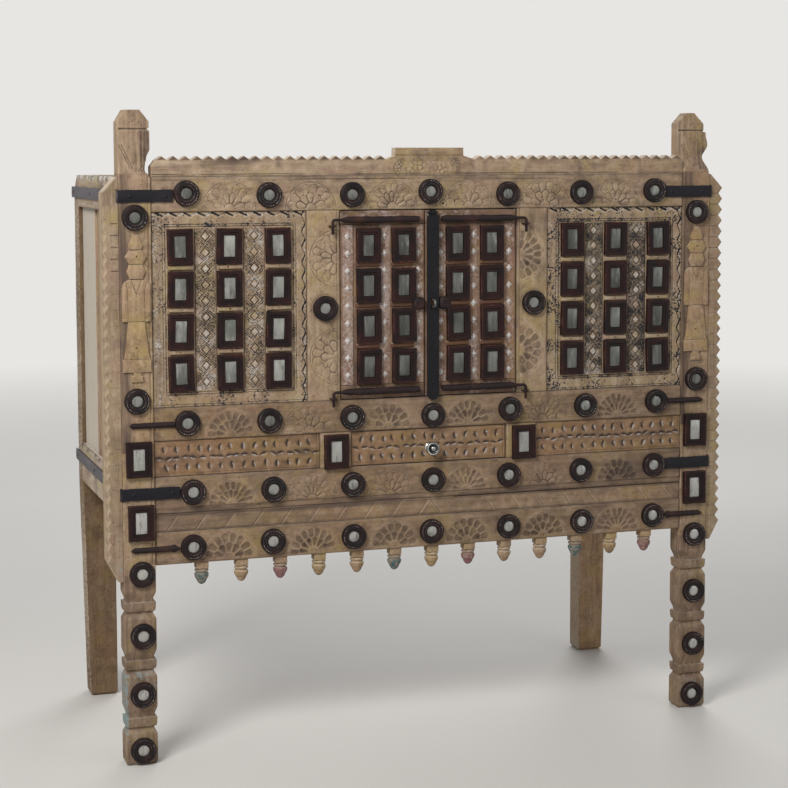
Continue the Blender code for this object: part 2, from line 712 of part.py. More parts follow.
def arc(centre, radius, start, end, steps):
    """Points round a centre, from one angle in degrees to another."""
    angles = [math.radians(start + (end - start) * i / steps) for i in range(steps + 1)]
    return [(centre[0] + radius * math.cos(a), centre[1] + radius * math.sin(a)) for a in angles]


def hinge_bar(name, side, z):
    """A forged bar along the leaf that thins to a wire, reaches out and turns down into its staple."""
    y = LEAF_FACE - SEAT - BAR_R
    thin = PIN_R / BAR_R
    route = [(BAR_CENTRE_END, y, z), (BAR_CENTRE_END + BAR_R / 2, y, z), (LEAF_EDGE - 2 * BAR_R, y, z),
             (LEAF_EDGE, HINGE_Y + PIN_R / 2, z)]
    radii = [0.6, 1.0, 1.0, thin]
    for x, height in arc((HINGE_X - PIN_BEND, z - PIN_BEND), PIN_BEND, 90, 0, 4):
        route.append((x, HINGE_Y, height))
        radii.append(thin)
    route.append((HINGE_X, HINGE_Y, z - PIN_L))
    radii.append(thin)
    return wire(name, [(side * x, y, height) for x, y, height in route], radii, BAR_R, IRON)


def hinge_staple(name, side, z):
    """A wire staple in the muntin that a hinge pin turns in."""
    radius = PIN_R + PIN_GAP + STAPLE_R
    plan = [(HINGE_X + radius, FRONT - SEAT)] + arc((HINGE_X, HINGE_Y), radius, 0, -180, 6)
    plan.append((HINGE_X - radius, FRONT - SEAT))
    wire(name, [(side * x, y, z) for x, y in plan], [1.0] * len(plan), STAPLE_R, IRON)


def axis_empty(name, spot, parent=None):
    made = bpy.data.objects.new(name, None)
    bpy.context.collection.objects.link(made)
    made.location = spot
    if parent:
        made.parent = parent
        made.location = Vector(spot) - parent.location
    return made


def ride(piece, axis, spot):
    """Hang a piece on the empty at its joint, where it already stands."""
    piece.parent = axis
    piece.matrix_parent_inverse.translation = -Vector(spot)


def door_leaf(label, side):
    """A plank leaf whose meeting edge is bevelled to swing clear, with its mirrors."""
    back = LEAF_FACE + LEAF_T
    meet = MEETING_X + side * MEETING_GAP / 2
    outline = [(side * LEAF_EDGE, LEAF_FACE), (side * LEAF_EDGE, back),
               (meet + side * MEETING_BEVEL, back), (meet, LEAF_FACE)]
    bm = bmesh.new()
    prism(bm, outline, "Z", Z_DOOR + DOOR_GAP, Z_TOP - DOOR_GAP)
    leaf = place(f"door_leaf_{label}", bm, PALE)
    bm = bmesh.new()
    inner = DOOR_CENTRE_MARGIN + FRAME_W / 2
    outer = LEAF_EDGE - DOOR_HINGE_MARGIN - FRAME_W / 2
    for x in spaced(inner, outer, DOOR_COLUMNS):
        for z in mirror_rows():
            frame(bm, side * x, z, LEAF_FACE, FRAME_H)
    combine(leaf, helper(f"door_mirrors_{label}", bm), "UNION")
    return leaf


def lock_plate(label, low_x, high_x):
    """A small iron plate with clipped corners beside the lock."""
    low = LOCK_Z - LOCK_PLATE_H / 2
    high = LOCK_Z + LOCK_PLATE_H / 2
    clip = LOCK_PLATE_CORNER
    outline = [(low_x + clip, low), (high_x - clip, low), (high_x, low + clip), (high_x, high - clip),
               (high_x - clip, high), (low_x + clip, high), (low_x, high - clip), (low_x, low + clip)]
    bm = bmesh.new()
    prism(bm, outline, "Y", LEAF_FACE - SEAT - LOCK_PLATE_T, LEAF_FACE - SEAT)
    return place(f"lock_plate_{label}", bm, IRON, 0.5, 0.8)


def doors():
    """Both leaves with their hinges and lock plates, on empties at the hinge axes."""
    plates = {"left": (-DOOR_CENTRE_MARGIN + IRON_GAP, MEETING_X - MEETING_GAP / 2 - IRON_GAP),
              "right": (HASP_X + HASP_W / 2 + IRON_GAP, DOOR_CENTRE_MARGIN - IRON_GAP)}
    axes = {}
    for label, side in SIDES:
        spot = (side * HINGE_X, HINGE_Y, Z_DOOR)
        axes[label] = axis_empty(f"door_axis_{label}", spot)
        pieces = [door_leaf(label, side), lock_plate(label, *plates[label])]
        for level, z in (("upper", UPPER_BAR_Z), ("lower", LOWER_BAR_Z)):
            pieces.append(hinge_bar(f"hinge_bar_{level}_{label}", side, z))
            hinge_staple(f"hinge_staple_{level}_{label}", side, z - STAPLE_DROP)
        for piece in pieces:
            ride(piece, axes[label], spot)
    return axes["right"]


def hasp_outline():
    """The hasp from the front: a rounded foot, a long strap and a narrow eye at the top."""
    foot = Z_DOOR - HASP_OVERLAP + HASP_W / 2
    neck = HASP_Z - 2 * HASP_EYE_R
    points = arc((HASP_X, foot), HASP_W / 2, 180, 360, 8)
    points += [(HASP_X + HASP_W / 2, neck - HASP_EYE_R), (HASP_X + HASP_EYE_W / 2, neck),
               (HASP_X + HASP_EYE_W / 2, HASP_Z), (HASP_X - HASP_EYE_W / 2, HASP_Z),
               (HASP_X - HASP_EYE_W / 2, neck), (HASP_X - HASP_W / 2, neck - HASP_EYE_R)]
    return points


def rod(bm, centre_y, centre_z, radius, x0, x1, sides):
    """A round rod along X."""
    points = arc((centre_y, centre_z), radius, 0, 360 - 360 / sides, sides - 1)
    prism(bm, points, "X", x0, x1)


def hasp(door_axis):
    """The long hasp hangs on the right leaf; its slot drops over the lock staple."""
    spot = (HASP_X, HASP_Y, HASP_Z)
    axis = axis_empty("hasp_axis", spot, door_axis)
    bm = bmesh.new()
    prism(bm, hasp_outline(), "Y", HASP_Y - HASP_T / 2, HASP_Y + HASP_T / 2)
    bar = place("hasp_bar", bm, IRON, 0.5, 0.8)
    half_eye = HASP_EYE_W / 2 + SEAT
    bm = bmesh.new()
    rod(bm, HASP_Y, HASP_Z, HASP_EYE_R, HASP_X - half_eye, HASP_X + half_eye, 12)
    combine(bar, helper("hasp_eye_barrel", bm), "UNION")
    bm = bmesh.new()
    rod(bm, HASP_Y, HASP_Z, HASP_PIN_R + HASP_GAP, HASP_X - HASP_W, HASP_X + HASP_W, 12)
    half_x = LOCK_STAPLE_R + LOCK_SLOT_GAP
    half_z = LOCK_STAPLE_HALF + LOCK_STAPLE_R + LOCK_SLOT_GAP
    block(bm, HASP_X - half_x, HASP_X + half_x, HASP_Y - HASP_T, HASP_Y + HASP_T,
          LOCK_Z - half_z, LOCK_Z + half_z)
    combine(bar, helper("hasp_slots", bm), "DIFFERENCE")
    ride(bar, axis, spot)

    reach = HASP_EYE_W / 2 + 2 * HASP_GAP + HASP_PIN_R
    seat = LEAF_FACE - SEAT
    bend = HASP_PIN_R
    plan = [(HASP_X - reach, seat), (HASP_X - reach, HASP_Y + bend), (HASP_X - reach + bend, HASP_Y),
            (HASP_X + reach - bend, HASP_Y), (HASP_X + reach, HASP_Y + bend), (HASP_X + reach, seat)]
    eye = wire("hasp_staple", [(x, y, HASP_Z) for x, y in plan], [1.0] * len(plan), HASP_PIN_R, IRON)
    route = [(seat, LOCK_Z - LOCK_STAPLE_HALF)]
    route += arc((FRONT - LOCK_STAPLE_OUT + LOCK_STAPLE_HALF, LOCK_Z), LOCK_STAPLE_HALF, 270, 90, 6)
    route.append((seat, LOCK_Z + LOCK_STAPLE_HALF))
    lock = wire("lock_staple", [(HASP_X, y, z) for y, z in route], [1.0] * len(route),
                LOCK_STAPLE_R, BRIGHT, 0.3)
    for piece in (eye, lock):
        ride(piece, door_axis, door_axis.location)


def drawer():
    """The drawer: carved front, U-shaped box, bottom and a turned knob."""
    spot = (0.0, FRONT + PANEL_RECESS, Z_DRAWER)
    axis = axis_empty("drawer_axis", spot)
    half = DIVIDER_IN - DRAWER_GAP
    face = FRONT + PANEL_RECESS
    back = face + DRAWER_FRONT_T
    front = board("drawer_front", ORANGE, -half, half, face, back,
                  Z_DRAWER + DRAWER_GAP, Z_MIDDLE - DRAWER_GAP)

    y0 = back + SEAT
    y1 = face + DRAWER_L
    inside = half - DRAWER_SIDE_T
    bottom = Z_DRAWER + DRAWER_RUN
    outline = [(-half, y0), (-half, y1), (half, y1), (half, y0), (inside, y0), (inside, y1 - DRAWER_SIDE_T),
               (-inside, y1 - DRAWER_SIDE_T), (-inside, y0)]
    bm = bmesh.new()
    prism(bm, outline, "Z", bottom, bottom + DRAWER_SIDE_H)
    box = place("drawer_box", bm, INSIDE)
    floor = board("drawer_bottom", INSIDE, -inside + SEAT, inside - SEAT, y0, y1 - DRAWER_SIDE_T - SEAT,
                  bottom, bottom + DRAWER_BOTTOM_T)

    steps = [(KNOB_NECK_R * 1.5, 0.0), (KNOB_NECK_R, 0.2), (KNOB_NECK_R, 0.4), (KNOB_R, 0.6),
             (KNOB_R, 0.8), (KNOB_R * 0.6, 1.0)]
    seat = face - SEAT
    reach = KNOB_L - SEAT
    bm = bmesh.new()
    stack(bm, [circle(0.0, Z_DRAWER + DRAWER_ROW_H / 2, radius, seat - reach * share, KNOB_SIDES)
               for radius, share in steps])
    knob = place("drawer_knob", bm, BRIGHT, 0.25, 1.0)
    for piece in (front, box, floor, knob):
        ride(piece, axis, spot)


front_posts()
rear_posts()
front_rails()
crest_rail()
muntins_and_dividers()
mirror_panels()
edge_strips()
sides_and_back()
case_boards()
straps_and_spikes()
hasp(doors())
drawer()
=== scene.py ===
# %% [markdown]
# # A damchiya chest, piece by piece
# This lesson dresses a measured model of a tall dowry chest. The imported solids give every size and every
# joint. We carve, turn and forge finer pieces over them, and each piece rides on its body.

# %% Load the chest
import json
import math
import bmesh
import bpy
import numpy as np
from mathutils import Matrix, Vector

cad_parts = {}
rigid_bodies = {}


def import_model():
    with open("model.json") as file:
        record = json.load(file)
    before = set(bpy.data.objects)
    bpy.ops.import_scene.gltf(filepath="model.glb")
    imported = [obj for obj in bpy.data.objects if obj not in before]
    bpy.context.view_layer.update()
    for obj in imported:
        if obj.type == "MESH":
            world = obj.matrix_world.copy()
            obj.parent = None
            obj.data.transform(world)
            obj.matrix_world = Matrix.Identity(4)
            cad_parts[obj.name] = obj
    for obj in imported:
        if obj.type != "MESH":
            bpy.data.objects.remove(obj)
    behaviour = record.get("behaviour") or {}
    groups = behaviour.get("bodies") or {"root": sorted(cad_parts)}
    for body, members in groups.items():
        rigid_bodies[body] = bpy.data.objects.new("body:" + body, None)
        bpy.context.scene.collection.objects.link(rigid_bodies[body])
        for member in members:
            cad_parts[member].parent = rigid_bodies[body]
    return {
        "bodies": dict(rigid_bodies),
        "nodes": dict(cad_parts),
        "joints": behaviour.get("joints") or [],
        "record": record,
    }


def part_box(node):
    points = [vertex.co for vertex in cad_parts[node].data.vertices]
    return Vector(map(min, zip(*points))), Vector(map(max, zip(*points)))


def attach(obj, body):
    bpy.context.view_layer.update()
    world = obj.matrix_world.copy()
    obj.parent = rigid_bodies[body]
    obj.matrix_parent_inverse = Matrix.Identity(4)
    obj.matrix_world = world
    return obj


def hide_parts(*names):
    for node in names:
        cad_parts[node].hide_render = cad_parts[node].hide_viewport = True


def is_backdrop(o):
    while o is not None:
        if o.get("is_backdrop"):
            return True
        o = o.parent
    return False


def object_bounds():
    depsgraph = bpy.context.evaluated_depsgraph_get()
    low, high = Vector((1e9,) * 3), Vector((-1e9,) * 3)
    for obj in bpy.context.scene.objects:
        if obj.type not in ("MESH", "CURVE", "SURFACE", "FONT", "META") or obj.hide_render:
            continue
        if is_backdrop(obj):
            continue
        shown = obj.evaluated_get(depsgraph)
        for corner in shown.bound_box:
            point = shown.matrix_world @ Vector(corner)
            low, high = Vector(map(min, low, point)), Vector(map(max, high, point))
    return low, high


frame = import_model()
cad_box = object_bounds()
nodes = frame["nodes"]

# %% [markdown]
# ## The camera
# The view comes from a fit of the mirrors' known places to the picture. The lens is a long one, and the
# picture's optical centre lies a little above the middle, so the camera needs a small shift.

# %% Camera
def linked(name, data):
    """A new object in the scene."""
    made = bpy.data.objects.new(name, data)
    bpy.context.scene.collection.objects.link(made)
    return made


camera = linked("camera", bpy.data.cameras.new("camera"))
forward = Vector((0.31449, 0.94539, -0.08558)).normalized()
right = Vector((0.9488, -0.31586, -0.00264))
right = (right - forward * right.dot(forward)).normalized()
turned = Matrix((right, right.cross(forward), -forward)).transposed()
camera.matrix_world = Matrix.Translation((-1.4245, -4.3237, 1.3425)) @ turned.to_4x4()
camera.data.sensor_width = 36.0
camera.data.lens = 85.17
camera.data.shift_y = -75 / 788
bpy.context.scene.camera = camera
bpy.context.scene.view_settings.view_transform = "Standard"
print("lens", camera.data.lens)

# %% [markdown]
# ## Floor and light
# A pale floor catches the shadow and melts into a pale surround further out. A large soft lamp from the upper
# left gives the carving its shade, and a weaker one opens the shadows on the right.

# %% Node helpers
def fresh(name):
    """A new material with its node tree, its shader and the places on its piece."""
    made = bpy.data.materials.new(name)
    made.use_nodes = True
    tree = made.node_tree
    where = node(tree, "TexCoord").outputs["Object"]
    return made, tree, tree.nodes["Principled BSDF"], where


def node(tree, kind, inputs=None, **settings):
    """Add a node, set its properties and either fill or link its inputs."""
    made = tree.nodes.new("ShaderNode" + kind)
    for key, value in settings.items():
        setattr(made, key, value)
    for key, value in (inputs or {}).items():
        if isinstance(value, bpy.types.NodeSocket):
            tree.links.new(value, made.inputs[key])
        else:
            made.inputs[key].default_value = value
    return made


def colour(values):
    return (*values, 1.0)


def mixed(tree, share, first, second, blend="MIX"):
    """Mix two colours; each may be a socket or a plain colour."""
    made = node(tree, "Mix", data_type="RGBA", blend_type=blend, clamp_factor=True)
    for key, value in ((0, share), (6, first), (7, second)):
        if isinstance(value, bpy.types.NodeSocket):
            tree.links.new(value, made.inputs[key])
        else:
            made.inputs[key].default_value = value if key == 0 else colour(value)
    return made.outputs[2]


def sums(tree, operation, first, second):
    """One step of arithmetic on two values or sockets."""
    return node(tree, "Math", {0: first, 1: second}, operation=operation, use_clamp=True).outputs[0]


def span(tree, value, low, high, to_low=0.0, to_high=1.0):
    """Stretch a value from one range to another, without leaving it."""
    keys = ("Value", "From Min", "From Max", "To Min", "To Max")
    return node(tree, "MapRange", dict(zip(keys, (value, low, high, to_low, to_high)))).outputs[0]


def noise(tree, at, scale, detail, rough=0.5, bend=0.0):
    """A soft random pattern from 0 to 1."""
    keys = ("Vector", "Scale", "Detail", "Roughness", "Distortion")
    return node(tree, "TexNoise", dict(zip(keys, (at, scale, detail, rough, bend)))).outputs["Fac"]


def attribute(tree, key):
    return node(tree, "Attribute", attribute_name=key).outputs["Fac"]


def facing(tree, axis):
    """How far a face looks along an axis, from -1 to 1."""
    return node(tree, "SeparateXYZ", {0: node(tree, "NewGeometry").outputs["Normal"]}).outputs[axis]


def bumpy(tree, shader, strength, distance, height):
    """Give a finish a fine relief from a pattern."""
    bump = node(tree, "Bump", {"Strength": strength, "Distance": distance, "Height": height})
    tree.links.new(bump.outputs[0], shader.inputs["Normal"])


# %% Floor, surround and lamps
PALE_SURROUND = (0.8, 0.79, 0.77)


def looked_at(tree):
    """1 on the rays that make the picture, 0 on those that only carry light."""
    path = node(tree, "LightPath")
    seen = sums(tree, "MAXIMUM", path.outputs["Is Camera Ray"], path.outputs["Is Glossy Ray"])
    return sums(tree, "MAXIMUM", seen, path.outputs["Is Transmission Ray"])


def meshed(name, bm):
    """The mesh of a finished shape."""
    mesh = bpy.data.meshes.new(name)
    bm.to_mesh(mesh)
    bm.free()
    return mesh


bm = bmesh.new()
bmesh.ops.create_grid(bm, x_segments=4, y_segments=4, size=30)
bmesh.ops.translate(bm, verts=bm.verts[:], vec=(0, 0, -0.0005))
floor_mesh = meshed("floor", bm)
floor = linked("floor", floor_mesh)
floor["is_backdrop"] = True
floor_finish, tree, shader, where = fresh("pale_floor")
away = node(tree, "VectorMath", {0: where}, operation="LENGTH").outputs["Value"]
cloud = noise(tree, where, 1.3, 4.0)
tree.links.new(mixed(tree, cloud, (0.6, 0.59, 0.57), (0.66, 0.65, 0.63)), shader.inputs["Base Color"])
shader.inputs["Roughness"].default_value = 0.6
glow = node(tree, "Emission", {"Color": colour(PALE_SURROUND)}).outputs[0]
far = sums(tree, "MULTIPLY", span(tree, away, 1.8, 8.0), looked_at(tree))
joined = node(tree, "MixShader", {0: far, 1: shader.outputs[0], 2: glow}).outputs[0]
tree.links.new(joined, tree.nodes["Material Output"].inputs["Surface"])
floor_mesh.materials.append(floor_finish)

world = bpy.data.worlds.new("soft_studio")
bpy.context.scene.world = world
world.use_nodes = True
tree = world.node_tree
sky = mixed(tree, looked_at(tree), (0.36, 0.36, 0.36), PALE_SURROUND)
tree.links.new(sky, tree.nodes["Background"].inputs["Color"])


def lamp(name, spot, target, size, watts, tint=(1.0, 1.0, 1.0)):
    """A soft square lamp that looks at a point and stays out of the picture."""
    light = bpy.data.lights.new(name, "AREA")
    light.size = size
    light.energy = watts
    light.color = tint
    made = linked(name, light)
    made.location = spot
    made.rotation_euler = (Vector(target) - Vector(spot)).to_track_quat("-Z", "Y").to_euler()
    made.visible_camera = False


lamp("key", (-2.4, -2.5, 3.1), (-0.3, -0.3, 1.1), 1.3, 130, (1.0, 0.97, 0.93))
lamp("fill", (2.8, -3.2, 1.8), (0.2, -0.3, 0.8), 2.4, 15)
lamp("back", (1.5, 3.2, 3.0), (0.0, 0.3, 0.9), 2.0, 60)
print("floor and", len(bpy.data.lights), "lamps")

# %% [markdown]
# ## Dry old wood
# The wood is bleached and dusty, with fine fibres along each board. A noise stretched along the grain gives
# the fibres, slow ones the honey, straw and pinkish patches, the grime and the pale dust, and faces that look
# up are paler with dust and a painted highlight. Point attributes come from the carving itself: dirt and
# painted shade in the cuts, soot and painted shade, worn pale lips and painted highlights, old paint and dark
# paint.

# %% Wood finishes
def wood(name, mean, grain, old_paint=(0.5, 0.46, 0.41), ink=(0.02, 0.021, 0.026), dust=0.5, dust_and_top_highlight=0.75,
         fine=150.0):
    """A dry, weathered wood around a mean colour, with its grain along X, Y or Z."""
    made, tree, shader, where = fresh(name)
    stretch = [13.0, 13.0, 13.0]
    stretch["XYZ".index(grain)] = 1.0
    along = node(tree, "Mapping", {"Vector": where, "Scale": stretch}).outputs[0]

    def soft(at, scale, detail=4.0, rough=0.6, bend=0.0):
        return noise(tree, at, scale, detail, rough, bend)

    def shade(red, green, blue):
        return mean[0] * red, mean[1] * green, mean[2] * blue

    def cover(key, scale, reach, low, high):
        """Where a worn coat still sticks, given how much of it a point may keep."""
        amount = attribute(tree, key)
        kept = sums(tree, "ADD", soft(where, scale, 6.0, 0.74, 0.5), sums(tree, "MULTIPLY", amount, reach))
        return sums(tree, "MULTIPLY", span(tree, kept, low, high), span(tree, amount, 0.02, 0.12))

    fibre, pores = soft(along, 7.0, 9.0, 0.66, 0.6), soft(along, 38.0)
    slow, hue, patch = soft(where, 3.4, 3.0), soft(where, 15.0, 5.0, 0.66), soft(where, 46.0, 8.0, 0.76, 0.4)
    grime, grit = soft(where, 27.0, 7.0, 0.72), soft(where, 120.0, 4.0, 0.7)
    tone = mixed(tree, span(tree, fibre, 0.36, 0.62), shade(0.8, 0.75, 0.69), shade(1.12, 1.14, 1.16))
    # Each layer: a pattern, where it starts and is full, how much it covers, its share of the mean.
    layers = (
        (slow, 0.44, 0.62, 0.6, (1.08, 0.96, 0.78)),  # honey
        (hue, 0.52, 0.63, 0.6, (0.98, 0.86, 0.94)),  # pink
        (hue, 0.49, 0.37, 0.75, (1.06, 1.08, 0.72)),  # straw
        (patch, 0.51, 0.62, 1.2 * dust, (1.45, 1.52, 1.66)),  # pale dust
        (grime, 0.48, 0.34, 1.4 * dust, (0.5, 0.45, 0.48)),
        (pores, 0.58, 0.72, 0.45, (0.36, 0.32, 0.29)),
        (grit, 0.57, 0.68, 0.65, (0.42, 0.37, 0.34)),
    )
    for value, low, high, most, tint in layers:
        tone = mixed(tree, span(tree, value, low, high, 0.0, most), tone, shade(*tint))
    # Faces that look up are paler: settled dust and a painted highlight from the light above.
    tone = mixed(tree, span(tree, facing(tree, "Z"), 0.4, 0.8, 0.0, dust_and_top_highlight), tone, (0.62, 0.56, 0.49))
    tone = mixed(tree, sums(tree, "MULTIPLY", attribute(tree, "pale"), 0.75), tone, shade(1.6, 1.68, 1.78))
    # Soot and painted shade: soot stains, and darkening set where the light falls off, in creases and under
    # ledges.
    soot = sums(tree, "MULTIPLY", attribute(tree, "soot"), span(tree, fibre, 0.4, 0.6, 1.0, 0.45))
    tone = mixed(tree, soot, tone, (0.105, 0.074, 0.06))
    # Dirt and painted shade: cuts, holes, hollows and rims darken towards their recesses.
    grime_and_shade = mixed(tree, span(tree, slow, 0.35, 0.65), (0.042, 0.028, 0.021), (0.08, 0.058, 0.047))
    tone = mixed(tree, attribute(tree, "dirt"), tone, grime_and_shade)
    tone = mixed(tree, cover("paint", fine, 0.45, 0.66, 0.8), tone, old_paint)
    tone = mixed(tree, cover("ink", fine * 1.2, 0.35, 0.66, 0.76), tone, ink)
    tree.links.new(tone, shader.inputs["Base Color"])
    tree.links.new(span(tree, fibre, 0.3, 0.7, 0.88, 0.7), shader.inputs["Roughness"])
    shader.inputs["Specular IOR Level"].default_value = 0.2
    rough = sums(tree, "ADD", sums(tree, "MULTIPLY", fibre, 0.6), sums(tree, "MULTIPLY", patch, 0.5))
    bumpy(tree, shader, 0.7, 0.0016, rough)
    return made


TEAL, CREAM, CHALK = (0.21, 0.27, 0.27), (0.53, 0.475, 0.405), (0.45, 0.42, 0.39)
honey_x = wood("honey_wood_along", (0.328, 0.242, 0.164), "X")
brown_x = wood("brown_wood_along", (0.252, 0.176, 0.114), "X")
honey_z = wood("honey_wood_upright", (0.316, 0.228, 0.15), "Z", old_paint=TEAL, dust_and_top_highlight=0.35)
muntin_z = wood("muntin_wood", (0.318, 0.234, 0.156), "Z")
pale_z = wood("strip_wood", (0.318, 0.24, 0.162), "Z", old_paint=TEAL, dust=0.35)
# The side woods are paler than the front's: paler boards and rails, and painted light on the side that faces
# the lamp.
lit_side_board_z = wood("side_board_wood_lit", (0.36, 0.262, 0.185), "Z", old_paint=CREAM, dust=0.3, fine=90.0)
lit_side_rail_y = wood("side_rail_wood_lit", (0.43, 0.35, 0.275), "Y", old_paint=(0.62, 0.58, 0.53))
# A darker and a paler copy of one rear wood: painted shade on the left rear post, and painted light on the
# right one, which sits in the case's shadow.
rear_shaded_z = wood("rear_left_wood_shaded", (0.158, 0.107, 0.064), "Z", old_paint=(0.46, 0.38, 0.29))
rear_lit_z = wood("rear_right_wood_lit", (0.36, 0.245, 0.155), "Z", old_paint=(0.46, 0.38, 0.29))
panel_wood = wood("painted_panel_wood", (0.305, 0.228, 0.152), "Z", old_paint=CHALK, fine=210.0)
bar_x = wood("panel_bar_wood", (0.33, 0.255, 0.178), "X", old_paint=CHALK, fine=210.0)
door_wood = wood("washed_door_wood", (0.225, 0.142, 0.098), "Z", old_paint=(0.36, 0.285, 0.255), fine=120.0)
door_bar_x = wood("door_bar_wood", (0.125, 0.066, 0.046), "X")
chip_x = wood("chip_carved_wood", (0.24, 0.153, 0.092), "X", old_paint=(0.3, 0.275, 0.265), fine=200.0)
inner_x, inner_y, inner_z = (wood(f"inner_wood_{grain}", (0.24, 0.165, 0.1), grain, dust_and_top_highlight=0.25)
                             for grain in "XYZ")
print("wood finishes", len(bpy.data.materials))

# %% [markdown]
# ## Iron, lacquer and old mirror
# The iron is forged and blackened, the mirror frames wear a dark gloss lacquer whose edges have lost tiny
# chips, and the mirrors have gone cloudy. Each gets its own scale of noise in colour, gloss and relief.

# %% Iron, lacquer, glass and paint finishes
def iron(name, tone, rust, gloss=(0.45, 0.7), metal=0.25, sides=None, painted_dark_reflection=None):
    """Forged iron; faces that look sideways may be painted a paler grey, a painted sheen, and marked ones
    painted dark, a painted reflection.
    """
    made, tree, shader, where = fresh(name)
    hammer = noise(tree, where, 75.0, 3.0)
    scale = noise(tree, where, 22.0, 7.0, 0.7)
    skin = mixed(tree, span(tree, scale, 0.5, 0.68), tone, rust)
    # Faces that look sideways turn a paler grey: painted sheen.
    if sides:
        across = facing(tree, "X")
        across = node(tree, "Math", {0: across}, operation="ABSOLUTE").outputs[0]
        worn = mixed(tree, span(tree, scale, 0.42, 0.6), sides, [value * 2.2 for value in sides])
        skin = mixed(tree, span(tree, across, 0.6, 0.9), skin, worn)
    # Marked points are painted dark: a painted reflection, in the knob's dish.
    if painted_dark_reflection:
        skin = mixed(tree, attribute(tree, "chip"), skin, painted_dark_reflection)
    tree.links.new(skin, shader.inputs["Base Color"])
    tree.links.new(span(tree, scale, 0.35, 0.65, *gloss), shader.inputs["Roughness"])
    shader.inputs["Metallic"].default_value = metal
    shader.inputs["Specular IOR Level"].default_value = 0.25
    bumpy(tree, shader, 0.6, 0.0016, hammer)
    return made


def lacquer(name, tone, worn, chip):
    """Dark lacquer, with chips of another colour where the piece's chip attribute allows them."""
    made, tree, shader, where = fresh(name)
    cloudy = noise(tree, where, 34.0, 4.0)
    speck = noise(tree, where, 420.0, 2.0)
    few = noise(tree, where, 27.0, 2.0)
    edge = attribute(tree, "chip")
    base = mixed(tree, span(tree, cloudy, 0.4, 0.66), tone, worn)
    chipped = sums(tree, "MULTIPLY", span(tree, speck, 0.44, 0.56),
                   sums(tree, "MULTIPLY", edge, span(tree, few, 0.44, 0.6)))
    tree.links.new(mixed(tree, chipped, base, chip), shader.inputs["Base Color"])
    tree.links.new(span(tree, cloudy, 0.3, 0.7, 0.42, 0.62), shader.inputs["Roughness"])
    shader.inputs["Specular IOR Level"].default_value = 0.18
    bumpy(tree, shader, 0.3, 0.0008, cloudy)
    return made


def old_mirror(name, light=1.0):
    """Clouded mirrors: grey ones high up, and paler ones low down, a painted reflection of the floor."""
    def grey(*tone):
        return [light * value for value in tone]

    made, tree, shader, where = fresh(name)
    height = node(tree, "SeparateXYZ", {0: where}).outputs["Z"]
    each = noise(tree, where, 11.0, 1.0)
    streaked = node(tree, "Mapping", {"Vector": where, "Scale": (1.0, 1.0, 0.22)}).outputs[0]
    smear = noise(tree, streaked, 120.0, 6.0, 0.7)
    tone = mixed(tree, span(tree, each, 0.36, 0.66), grey(0.098, 0.102, 0.092), grey(0.245, 0.25, 0.232))
    # Paler low down: painted reflection of the pale floor.
    tone = mixed(tree, span(tree, height, 0.8, 0.45, 0.0, 0.6), tone, (0.56, 0.55, 0.52))
    tone = mixed(tree, span(tree, smear, 0.52, 0.66, 0.0, 0.75), tone, grey(0.066, 0.06, 0.054))
    tone = mixed(tree, span(tree, smear, 0.46, 0.32, 0.0, 0.6), tone, grey(0.4, 0.4, 0.385))
    tree.links.new(tone, shader.inputs["Base Color"])
    tree.links.new(span(tree, smear, 0.3, 0.7, 0.22, 0.46), shader.inputs["Roughness"])
    shader.inputs["Metallic"].default_value = 0.45
    return made


def flaking(name, tone, under, low, high, bare=9.0):
    """A coat of paint that has flaked off to the wood in places, and all over above a bare height."""
    made, tree, shader, where = fresh(name)
    flake = noise(tree, where, 120.0, 6.0, 0.7)
    height = node(tree, "SeparateXYZ", {0: where}).outputs["Z"]
    gone = sums(tree, "MAXIMUM", span(tree, flake, low, high), span(tree, height, bare, bare + 0.004))
    tree.links.new(mixed(tree, gone, tone, under), shader.inputs["Base Color"])
    shader.inputs["Roughness"].default_value = 0.7
    bumpy(tree, shader, 0.4, 0.0008, flake)
    return made


black_iron = iron("black_iron", (0.01, 0.01, 0.014), (0.022, 0.017, 0.02), sides=(0.06, 0.054, 0.061))
hasp_iron = iron("hasp_iron", (0.0055, 0.0055, 0.0075), (0.015, 0.012, 0.013), (0.5, 0.75), 0.15)
brown_iron = iron("brown_iron", (0.018, 0.011, 0.012), (0.055, 0.024, 0.018))
dull_metal = iron("dull_metal", (0.15, 0.15, 0.15), (0.06, 0.05, 0.045), (0.35, 0.55), 0.7)
bright_metal = iron("bright_metal", (0.46, 0.47, 0.46), (0.22, 0.22, 0.21), (0.14, 0.3), 1.0,
                    painted_dark_reflection=(0.035, 0.035, 0.038))
frame_lacquer = lacquer("dark_frame_lacquer", (0.0105, 0.0056, 0.006), (0.024, 0.009, 0.0082),
                        (0.15, 0.052, 0.034))
ring_lacquer = lacquer("dark_ring_lacquer", (0.0095, 0.0068, 0.0078), (0.021, 0.0108, 0.0105),
                       (0.36, 0.31, 0.29))
